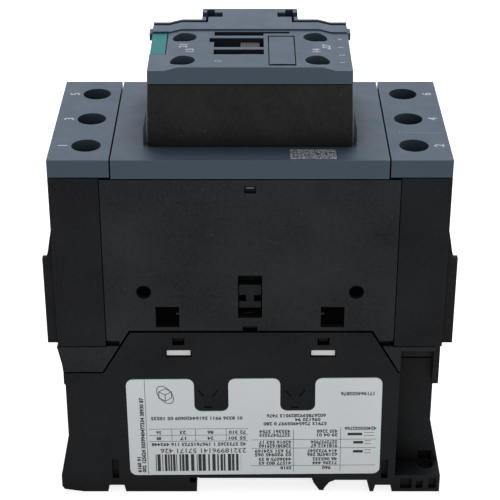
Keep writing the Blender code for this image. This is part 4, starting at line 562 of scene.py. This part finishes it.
# Numbers at the screws: heights, and places on the covers, the hood, its ramp and its lower shoulder
NUMERAL = 0.0026
LINE_NUMERAL_X = -0.0504
LOAD_NUMERAL_X = 0.0512
AUX_NUMERAL = 0.0022
SMALL_NUMERAL = 0.0013
HOOD_STEP = 0.00045
SHOULDER_DROP = 0.0009
RAMP_RUN = 0.0036
HOOD_TOP_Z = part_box("aux_hood")[1].z
HOOD_FRONT_Z = HOOD_TOP_Z - HOOD_STEP
SHOULDER_Z = HOOD_FRONT_Z - SHOULDER_DROP
RAMP_Z = HOOD_FRONT_Z - SHOULDER_DROP / 2
RAMP_TURN = Matrix.Rotation(math.atan2(SHOULDER_DROP, RAMP_RUN), 4, "Y")
AUX_NUMERALS = (
    ("21", (-0.0181, -0.0009, HOOD_FRONT_Z)),
    ("13", (-0.0162, -0.0047, HOOD_FRONT_Z)),
    ("14", (0.0181, -0.0048, HOOD_FRONT_Z)),
)
RAMP_NUMERAL = ("22", (0.02095, -0.0008, RAMP_Z))
SHOULDER_NUMERALS = (("4", 0.0062), ("3", 0.0), ("2", -0.0058), ("1", -0.0112))
SHOULDER_X = 0.0249
READ_FROM_LOAD_SIDE = Matrix(((0, -1, 0, 0), (1, 0, 0, 0), (0, 0, 1, 0), (0, 0, 0, 1)))


def numbers():
    lift = Vector((0.0, 0.0, PRINT / 2))
    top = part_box("load_terminal_cover")[1].z
    for x, name, first in ((LINE_NUMERAL_X, "line_numbers", 1), (LOAD_NUMERAL_X, "load_numbers", 2)):
        shape = bmesh.new()
        for pole in range(3):
            low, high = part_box(f"terminal_screw_{first + 2 * pole}")
            place = Vector((x, (low.y + high.y) / 2, top)) + lift
            turn = Matrix.Translation(place) @ READ_FROM_LOAD_SIDE
            add_numeral(shape, str(first + 2 * pole), NUMERAL, turn, BOLDNESS)
        piece(name, mesh_of(name, shape), LIGHT_INK, "housing")
    shape = bmesh.new()
    for text, place in AUX_NUMERALS:
        turn = Matrix.Translation(Vector(place) + lift) @ READ_FROM_LOAD_SIDE
        add_numeral(shape, text, AUX_NUMERAL, turn, BOLDNESS)
    text, place = RAMP_NUMERAL
    turn = Matrix.Translation(Vector(place) + lift) @ RAMP_TURN @ READ_FROM_LOAD_SIDE
    add_numeral(shape, text, AUX_NUMERAL, turn, BOLDNESS)
    for text, y in SHOULDER_NUMERALS:
        place = Matrix.Translation(Vector((SHOULDER_X, y, SHOULDER_Z)) + lift)
        add_numeral(shape, text, SMALL_NUMERAL, place @ READ_FROM_LOAD_SIDE, BOLDNESS)
    piece("aux_numbers", mesh_of("aux_numbers", shape), LIGHT_INK, "housing")


# Small marks, in spans along X and Y: a scored line on the load cover and printed dashes on the hood
SCORE = ((0.0410, 0.0525), (-0.00968, -0.00952))
SCORE_TICK = ((0.0410, 0.04116), (-0.0096, -0.0078))
HOOD_DASHES = ((-0.0095, -0.0075), (-0.0130, -0.0118))
DASH_COUNT = 3
DASH_SHARE = 0.7


def marks():
    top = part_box("load_terminal_cover")[1].z
    shape = bmesh.new()
    for x, y in (SCORE, SCORE_TICK):
        add_box(shape, x, y, (top, top + PRINT))
    piece("cover_score", mesh_of("cover_score", shape), FAINT_INK, "housing")
    shape = bmesh.new()
    (left, right), across = HOOD_DASHES
    step = (right - left) / DASH_COUNT
    for n in range(DASH_COUNT):
        start = left + n * step
        add_box(shape, (start, start + step * DASH_SHARE), across, (HOOD_FRONT_Z, HOOD_FRONT_Z + PRINT))
    piece("hood_marks", mesh_of("hood_marks", shape), FAINT_INK, "housing")


# Painted shade: dark sheets on the walls and floors of the hood's windows and of the gaps beside its plate,
# clear of the slider's path
SHADE_SHEET_RIM = 0.0002
SHADE_SHEET_DEPTH = 0.0031
WINDOW_LEFT = -0.00985
WINDOW_RIGHT = 0.00378
SLOT_RIGHT = 0.01098
NOTCH_LEFT = -0.01115
REAR_WINDOW = (0.0067, 0.0098)
REAR_SLOT = (0.0084, 0.0098)
MIDDLE_WINDOW = (-0.0021, 0.0049)
MIDDLE_NOTCH = (0.0018, 0.0049)
FRONT_WINDOW = (-0.0075, -0.0038)
SLIDER_PATH = 0.0029
WINDOWS = (
    ((WINDOW_LEFT, WINDOW_RIGHT), REAR_WINDOW),
    ((WINDOW_RIGHT, SLOT_RIGHT), REAR_SLOT),
    ((WINDOW_LEFT, WINDOW_RIGHT), MIDDLE_WINDOW),
    ((NOTCH_LEFT, WINDOW_LEFT), MIDDLE_NOTCH),
    ((WINDOW_LEFT, WINDOW_RIGHT), FRONT_WINDOW),
)
SLIDER_WINDOWS = (FRONT_WINDOW[0], MIDDLE_WINDOW[1])
WINDOW_FLOORS = (
    ((WINDOW_LEFT, SLOT_RIGHT), REAR_WINDOW),
    ((NOTCH_LEFT, -SLIDER_PATH), SLIDER_WINDOWS),
    ((SLIDER_PATH, WINDOW_RIGHT), SLIDER_WINDOWS),
)
PLATE_GAP = (0.0060, 0.0120)
PLATE_GAP_WALLS = (-0.0145, 0.0067)
PLATE_DEPTH = 0.0011
PLATE_FLOOR_Z = HOOD_FRONT_Z - PLATE_DEPTH


def window_shade_sheets():
    shape = bmesh.new()
    z = (HOOD_FRONT_Z - SHADE_SHEET_DEPTH, HOOD_FRONT_Z - SHADE_SHEET_RIM)
    for (left, right), (front, back) in WINDOWS:
        for x in ((left, left + PRINT), (right - PRINT, right)):
            add_box(shape, x, (front, back), z)
        for y in ((front, front + PRINT), (back - PRINT, back)):
            add_box(shape, (left, right), y, z)
    for x, y in WINDOW_FLOORS:
        add_box(shape, x, y, (z[0], z[0] + PRINT))
    for wall in PLATE_GAP_WALLS:
        add_box(shape, PLATE_GAP, (wall - PRINT, wall), (PLATE_FLOOR_Z, HOOD_FRONT_Z))
    # Painted shade inside the hood's windows and plate gaps
    piece("hood_window_shade", mesh_of("hood_window_shade", shape), WINDOW_PAINTED_SHADE, "housing")


# The front cover's catches, which show as pale streaks in the windows under it
CATCH_HALF = 0.00104
CATCH_RISE = (0.0996, 0.0999)
CATCH_REACH = (0.0003, 0.0010)


def catches():
    low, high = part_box("pole_housing")
    near, far = CATCH_REACH
    shape = bmesh.new()
    for y in ((low.y + near, low.y + far), (high.y - far, high.y - near)):
        add_box(shape, (-CATCH_HALF, CATCH_HALF), y, CATCH_RISE)
    piece("cover_catches", mesh_of("cover_catches", shape), FAINT_INK, "housing")


# Painted shade: dark sheets at the floors of the blind sockets in the pole housing, for the shade of deep
# holes: places along X and Z, and the radius or half width
SOCKET_DEPTH = 0.0016
ROUND_SOCKET = (0.0294, 0.06785, 0.00205)
SQUARE_SOCKET = (0.0230, 0.0599, 0.00325)
SOCKET_SIDES = 32


def socket_shade_sheets():
    low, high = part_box("pole_housing")
    shape = bmesh.new()
    for floor in (low.y + SOCKET_DEPTH, high.y - SOCKET_DEPTH):
        inward = 1 if floor > 0 else -1
        y = floor + inward * PRINT
        for side in (1, -1):
            x, z, radius = ROUND_SOCKET
            turn = Matrix.Translation((side * x, y, z)) @ Matrix.Rotation(math.pi / 2, 4, "X")
            bmesh.ops.create_cone(
                shape,
                cap_ends=True,
                segments=SOCKET_SIDES,
                radius1=radius,
                radius2=radius,
                depth=PRINT,
                matrix=turn,
            )
            x, z, half = SQUARE_SOCKET
            across = (side * x - half, side * x + half)
            add_box(shape, across, (y - PRINT / 2, y + PRINT / 2), (z - half, z + half))
    # Painted shade at the floors of the sockets
    piece("socket_floor_shade", mesh_of("socket_floor_shade", shape), SOCKET_PAINTED_SHADE, "housing")


# Springs: wire and open turns of each kind
CONTACT_SPRING = (0.0009, 3)
RETURN_SPRING = (0.0009, 4)
LATCH_SPRING = (0.0005, 5)
SPRING_SIDES = 12
SPRING_POINTS = 32
CLOSED_TURN = 0.8
CLOSED_PITCH = 1.02
SEAM = 1e-7


def helix_points(start, axis, across, length, diameter, wire, turns):
    """The middle line of a compression spring whose end turns lie closed."""
    radius = (diameter - wire) / 2
    third = axis.cross(across)
    total = turns + 2 * CLOSED_TURN
    rise_closed = wire * CLOSED_PITCH * CLOSED_TURN
    rise_open = length - wire - 2 * rise_closed
    points = []
    for n in range(int(total * SPRING_POINTS) + 1):
        turn = n / SPRING_POINTS
        if turn < CLOSED_TURN:
            along = rise_closed * turn / CLOSED_TURN
        elif turn < total - CLOSED_TURN:
            along = rise_closed + rise_open * (turn - CLOSED_TURN) / turns
        else:
            along = length - wire - rise_closed * (total - turn) / CLOSED_TURN
        angle = 2 * math.pi * turn
        around = across * (radius * math.cos(angle)) + third * (radius * math.sin(angle))
        points.append(start + axis * (wire / 2 + along) + around)
    return points


def wire_mesh(name, points, wire):
    curve = bpy.data.curves.new(name, "CURVE")
    curve.dimensions = "3D"
    curve.bevel_depth = wire / 2
    curve.bevel_resolution = SPRING_SIDES // 4
    curve.use_fill_caps = True
    spline = curve.splines.new("POLY")
    spline.points.add(len(points) - 1)
    for point, place in zip(spline.points, points):
        point.co = (*place, 1.0)
    holder = bpy.data.objects.new(name, curve)
    mesh = bpy.data.meshes.new_from_object(holder)
    bpy.data.objects.remove(holder)
    shape = bmesh.new()
    shape.from_mesh(mesh)
    bmesh.ops.remove_doubles(shape, verts=shape.verts, dist=SEAM)
    bpy.data.meshes.remove(mesh)
    made = mesh_of(name, shape)
    made.shade_smooth()
    return made


def spring_piece(node, axis, across, kind, body):
    """A wound spring in place of a plain spring solid, on the solid's own middle line."""
    wire, turns = kind
    low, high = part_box(node)
    middle, size = (low + high) / 2, high - low
    length = abs(size.dot(axis))
    start = middle - axis * (length / 2)
    points = helix_points(start, axis, across, length, abs(size.dot(across)), wire, turns)
    obj = piece(f"wound_{node}", wire_mesh(node, points, wire), LOOKS["spring_steel"], body)
    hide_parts(node)
    return obj, start, axis, length


def springs():
    up, right = Vector((0, 0, 1)), Vector((1, 0, 0))
    for number in (1, 2, 3):
        spring_piece(f"contact_spring_{number}", up, right, CONTACT_SPRING, "carrier")
    for number in (1, 2):
        made = spring_piece(f"return_spring_{number}", up, right, RETURN_SPRING, "housing")
        obj, start, axis, length = made
        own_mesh(obj)
    obj, start, axis, length = spring_piece("rail_latch_spring", right, up, LATCH_SPRING, "housing")
    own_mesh(obj)


# Print on the label, in places along X and Z
LABEL_TILT = math.radians(0.5)
LABEL_PRINT_Y = (FACE_Y - PRINT, FACE_Y + PRINT)
CHANCE_STEP = 12.9898
CHANCE_SPREAD = 43758.5453
LINE_SEEDS = 100
FIGURE_SPREAD = 1000
TEXT_HIGH = 0.00108
TEXT_PITCH = 0.74
TEXT_GAPS = 0.22
TEXT_BOLDNESS = 0.05
UPRIGHT_BOLDNESS = 0.065
FIGURE_BOLDNESS = 0.01
UPSIDE_DOWN = Matrix(((-1, 0, 0, 0), (0, 0, -1, 0), (0, -1, 0, 0), (0, 0, 0, 1)))
READ_UPWARD = Matrix(((0, -1, 0, 0), (0, 0, -1, 0), (1, 0, 0, 0), (0, 0, 0, 1)))


def chance(seed):
    """A number from 0 to 1 that looks drawn by lot, and is the same each time."""
    return math.sin(seed * CHANCE_STEP) * CHANCE_SPREAD % 1.0


def label_box(shape, x, z):
    add_box(shape, x, LABEL_PRINT_Y, z)


def label_stroke(shape, start, end, width):
    """A straight stroke between two places (x, z) on the label."""
    along = Vector((end[0] - start[0], end[1] - start[1]))
    x, z = (start[0] + end[0]) / 2, (start[1] + end[1]) / 2
    turn = Matrix.Rotation(-math.atan2(along.y, along.x), 4, "Y")
    half = (along.length + width) / 2
    add_box(shape, (x - half, x + half), LABEL_PRINT_Y, (z - width / 2, z + width / 2), turn)


def number_line(shape, start, end, across, height, boldness, turn, upright, line):
    """Groups of plain figures between two places on the label, drawn by lot, which say nothing."""
    count = max(2, round((end - start) / (height * TEXT_PITCH)))
    text = ""
    for n in range(count):
        seed = chance(n + LINE_SEEDS * line)
        inside = 1 < n < count - 2 and text[-1] != " "
        text += " " if inside and seed < TEXT_GAPS else str(int(seed * FIGURE_SPREAD) % 10)
    middle = (start + end) / 2
    x, z = (across, middle) if upright else (middle, across)
    place = Matrix.Translation((x, FACE_Y - PRINT / 2, z)) @ turn
    add_numeral(shape, text, height, place, boldness, end - start)


# Lines of figures and rules along X have their start, end and Z; those along Z have their X, start and end
TEXT_LINES = (
    (-0.0286, -0.0021, 0.0257),
    (-0.0287, -0.0012, 0.0166),
    (-0.0262, -0.0012, 0.0141),
    (0.0048, 0.0219, 0.0264),
    (0.0130, 0.0204, 0.0250),
    (0.0039, 0.0222, 0.0236),
    (0.0261, 0.0357, 0.0338),
    (0.0027, 0.0117, 0.0209),
    (0.0027, 0.0117, 0.0196),
    (0.0194, 0.0254, 0.0209),
    (0.0194, 0.0254, 0.0196),
    (0.0025, 0.0119, 0.0171),
    (0.0025, 0.0119, 0.0158),
    (0.0176, 0.0254, 0.0171),
    (0.0176, 0.0254, 0.0158),
    (0.0013, 0.0120, 0.0140),
    (0.0013, 0.0120, 0.0127),
    (0.0166, 0.0254, 0.0140),
    (0.0166, 0.0254, 0.0127),
    (0.0025, 0.0120, 0.0111),
    (0.0025, 0.0120, 0.0097),
    (0.0182, 0.0254, 0.0111),
    (0.0182, 0.0254, 0.0097),
    (0.0088, 0.0120, 0.0080),
    (0.0210, 0.0236, 0.0080),
    (0.0274, 0.0366, 0.0218),
    (-0.0272, -0.0258, 0.0208),
    (-0.0204, -0.0186, 0.0208),
    (-0.0124, -0.0106, 0.0208),
    (-0.0062, -0.0012, 0.0208),
    (-0.0272, -0.0258, 0.0187),
    (-0.0204, -0.0186, 0.0187),
    (-0.0124, -0.0106, 0.0187),
    (-0.0062, -0.0012, 0.0187),
)
UPRIGHT_LINES = ((-0.0330, 0.0072, 0.0127), (-0.0316, 0.0072, 0.0334))
RULES_ALONG = (
    (-0.0293, -0.0005, 0.0225),
    (-0.0294, -0.0006, 0.0203),
    (-0.0294, -0.0007, 0.0182),
    (0.0004, 0.0366, 0.0185),
    (0.0004, 0.0366, 0.0155),
    (0.0001, 0.0366, 0.0093),
)
RULES_UP = (
    (-0.0300, 0.0066, 0.0394),
    (-0.0227, 0.0182, 0.0225),
    (-0.0158, 0.0182, 0.0225),
    (-0.0069, 0.0182, 0.0225),
    (0.0126, 0.0072, 0.0221),
    (0.0263, 0.0072, 0.0228),
)

# Bars drawn by lot with their line of figures, signs of a bar and two strokes, and the mounting diagram
BARS = (-0.0277, -0.0027, 0.0076, 0.0136)
BAR_UNIT = 0.00024
BAR_WIDTHS = 4
GAP_WIDTHS = 3
GAP_SEED = 0.5
BAR_LINE = 2
BAR_FIGURES = 0.0016
SIGN_BARS = ((0.0283, 0.0360, 0.0203), (0.0300, 0.0352, 0.0174), (0.0300, 0.0352, 0.0142))
SIGN_SOLID = 0.55
SIGN_STROKES = 0.62
SIGN_HALF = 0.00045
SIGN_EDGE = 0.0006
DIAGRAM = (-0.0242, 0.0343)
DIAGRAM_CUBE = 0.0021
DIAGRAM_RING = (0.0033, 0.0019)
DIAGRAM_LEAN = math.radians(-58.0)
DIAGRAM_LINE = 0.0002
RING_STEPS = 28


def mounting_diagram(shape):
    """A box drawn in space with a ring round it, for the angles at which the device may be mounted."""
    x, z = DIAGRAM
    corners = []
    for n in range(6):
        angle = math.pi / 6 + n * math.pi / 3
        corners.append((x + DIAGRAM_CUBE * math.cos(angle), z + DIAGRAM_CUBE * math.sin(angle)))
    for n in range(6):
        label_stroke(shape, corners[n - 1], corners[n], DIAGRAM_LINE)
    for n in (0, 2, 4):
        label_stroke(shape, (x, z), corners[n], DIAGRAM_LINE)
    lean = Matrix.Rotation(DIAGRAM_LEAN, 2)
    ring = []
    for n in range(RING_STEPS):
        angle = 2 * math.pi * n / RING_STEPS
        place = lean @ Vector((DIAGRAM_RING[0] * math.cos(angle), DIAGRAM_RING[1] * math.sin(angle)))
        ring.append((x + place.x, z + place.y))
    for n in range(RING_STEPS):
        label_stroke(shape, ring[n - 1], ring[n], DIAGRAM_LINE)


def label_print():
    text, rules = bmesh.new(), bmesh.new()
    for line, (start, end, z) in enumerate(TEXT_LINES):
        at_bars = line == BAR_LINE
        height = BAR_FIGURES if at_bars else TEXT_HIGH
        boldness = FIGURE_BOLDNESS if at_bars else TEXT_BOLDNESS
        number_line(text, start, end, z + height / 2, height, boldness, UPSIDE_DOWN, False, line)
    for line, (x, start, end) in enumerate(UPRIGHT_LINES, len(TEXT_LINES)):
        across = x + TEXT_HIGH / 2
        number_line(text, start, end, across, TEXT_HIGH, UPRIGHT_BOLDNESS, READ_UPWARD, True, line)
    for start, end, z in RULES_ALONG:
        label_box(rules, (start, end), (z - RULE / 2, z + RULE / 2))
    for x, start, end in RULES_UP:
        label_box(rules, (x - RULE / 2, x + RULE / 2), (start, end))
    left, right, low, high = BARS
    place, count = left, 0
    while place < right:
        wide = BAR_UNIT * (1 + int(BAR_WIDTHS * chance(count)))
        label_box(rules, (place, min(place + wide, right)), (low, high))
        place += wide + BAR_UNIT * (1 + int(GAP_WIDTHS * chance(count + GAP_SEED)))
        count += 1
    mounting_diagram(rules)
    for start, end, z in SIGN_BARS:
        strokes = (start + (end - start) * SIGN_STROKES, end)
        label_box(rules, (start, start + (end - start) * SIGN_SOLID), (z - SIGN_HALF, z + SIGN_HALF))
        label_box(rules, strokes, (z - SIGN_EDGE, z - SIGN_HALF))
        label_box(rules, strokes, (z + SIGN_HALF, z + SIGN_EDGE))
    low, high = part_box("rating_label")
    middle = Matrix.Translation((low + high) / 2)
    askew = middle @ Matrix.Rotation(-LABEL_TILT, 4, "Y") @ middle.inverted()
    for name, shape in (("label_text_lines", text), ("label_rules", rules)):
        bmesh.ops.transform(shape, matrix=askew, verts=shape.verts)
        piece(name, mesh_of(name, shape), DARK_INK, "housing")


# Dot patch on the front cover: its ends along X and Y, and its cells
PATCH = (0.01075, 0.0230, -0.0266, -0.0206)
PATCH_CELLS = (44, 16)
PATCH_ROW_STEP = 6.0226
PATCH_FILLED = 0.5


def dot_patch():
    """A printed field of small squares, scattered by a formula."""
    left, right, front, back = PATCH
    columns, rows = PATCH_CELLS
    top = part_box("load_terminal_cover")[1].z
    shape = bmesh.new()
    for column in range(columns):
        for row in range(rows):
            edge = column in (0, columns - 1) or row in (0, rows - 1)
            filled = chance(column + row * PATCH_ROW_STEP) < PATCH_FILLED
            if filled or edge and (column + row) % 2:
                x = left + (right - left) * column / columns
                y = front + (back - front) * row / rows
                x_end, y_end = x + (right - left) / columns, y + (back - front) / rows
                add_box(shape, (x, x_end), (y, y_end), (top, top + PRINT))
    piece("dot_patch", mesh_of("dot_patch", shape), LIGHT_INK, "housing")


# Studio. A lamp has its place, what it aims at, its size, power and colour
FLOOR_SIZE = 6.0
FLOOR_DROP = 0.0001
FLOOR_TONE = 0.45
FLOOR_GLOW = 0.80
SKY = 0.50
WHITE = (1.0, 1.0, 1.0)
FAINT_VIOLET = (1.0, 0.92, 0.98)
LAMPS = (
    ("overhead", (0.0, 0.75, 1.05), (0.0, 0.0, 0.1), 1.2, 20.0, FAINT_VIOLET),
    ("front", (0.25, -1.5, 0.75), (0.0, 0.0, 0.06), 0.9, 5.0, WHITE),
    ("left", (-1.4, -0.1, 0.6), (0.0, 0.0, 0.06), 0.8, 3.0, WHITE),
    ("right", (1.4, -0.1, 0.6), (0.0, 0.0, 0.06), 0.8, 3.0, WHITE),
)


def seen_directly(tree):
    """One for rays from the camera, a mirror or glass, and nought for the light that falls on things."""
    path = add(tree, "ShaderNodeLightPath").outputs
    seen = calculated(tree, "MAXIMUM", path["Is Camera Ray"], path["Is Glossy Ray"])
    return calculated(tree, "MAXIMUM", seen, path["Is Transmission Ray"])


def floor_look():
    """Pale floor: bright to the eye with a soft shadow, a plain diffuse grey to other surfaces."""
    made = bpy.data.materials.new("studio_floor")
    made.use_nodes = True
    tree = made.node_tree
    tree.nodes.clear()
    matte = add(tree, "ShaderNodeBsdfDiffuse", {"Color": (FLOOR_TONE, FLOOR_TONE, FLOOR_TONE, 1.0)})
    glow = calculated(tree, "MULTIPLY", seen_directly(tree), FLOOR_GLOW)
    light = add(tree, "ShaderNodeEmission", {"Strength": glow})
    both = add(tree, "ShaderNodeAddShader", {0: matte.outputs[0], 1: light.outputs[0]})
    add(tree, "ShaderNodeOutputMaterial", {"Surface": both.outputs[0]})
    return made


def studio():
    scene = bpy.context.scene
    shape = bmesh.new()
    bmesh.ops.create_grid(shape, x_segments=2, y_segments=2, size=FLOOR_SIZE / 2)
    bmesh.ops.translate(shape, vec=(0, 0, -FLOOR_DROP), verts=shape.verts)
    floor = bpy.data.objects.new("floor", mesh_of("floor", shape))
    floor.data.materials.append(floor_look())
    scene.collection.objects.link(floor)

    world = bpy.data.worlds.new("studio")
    world.use_nodes = True
    scene.world = world
    tree = world.node_tree
    strength = spread(tree, seen_directly(tree), 0.0, 1.0, SKY, 1.0)
    tree.links.new(strength, tree.nodes["Background"].inputs["Strength"])
    tree.nodes["Background"].inputs["Color"].default_value = (1.0, 1.0, 1.0, 1.0)

    for name, place, aim, size, power, colour in LAMPS:
        lamp = bpy.data.lights.new(name, "AREA")
        lamp.shape = "DISK"
        lamp.size = size
        lamp.energy = power
        lamp.color = colour
        holder = bpy.data.objects.new(name, lamp)
        holder.location = place
        holder.rotation_euler = (Vector(aim) - Vector(place)).to_track_quat("-Z", "Y").to_euler()
        holder.visible_glossy = False
        scene.collection.objects.link(holder)

    eye = bpy.data.cameras.new("camera")
    eye.sensor_width = SENSOR
    eye.lens = LENS
    eye.clip_start = CLIP_START
    holder = bpy.data.objects.new("camera", eye)
    holder.location = CAMERA_PLACE
    holder.rotation_euler = (CAMERA_TILT, 0.0, 0.0)
    scene.collection.objects.link(holder)
    scene.camera = holder
    scene.view_settings.view_transform = "Standard"


dress_nodes()
springs()
numbers()
marks()
window_shade_sheets()
catches()
socket_shade_sheets()
label_print()
dot_patch()
studio()
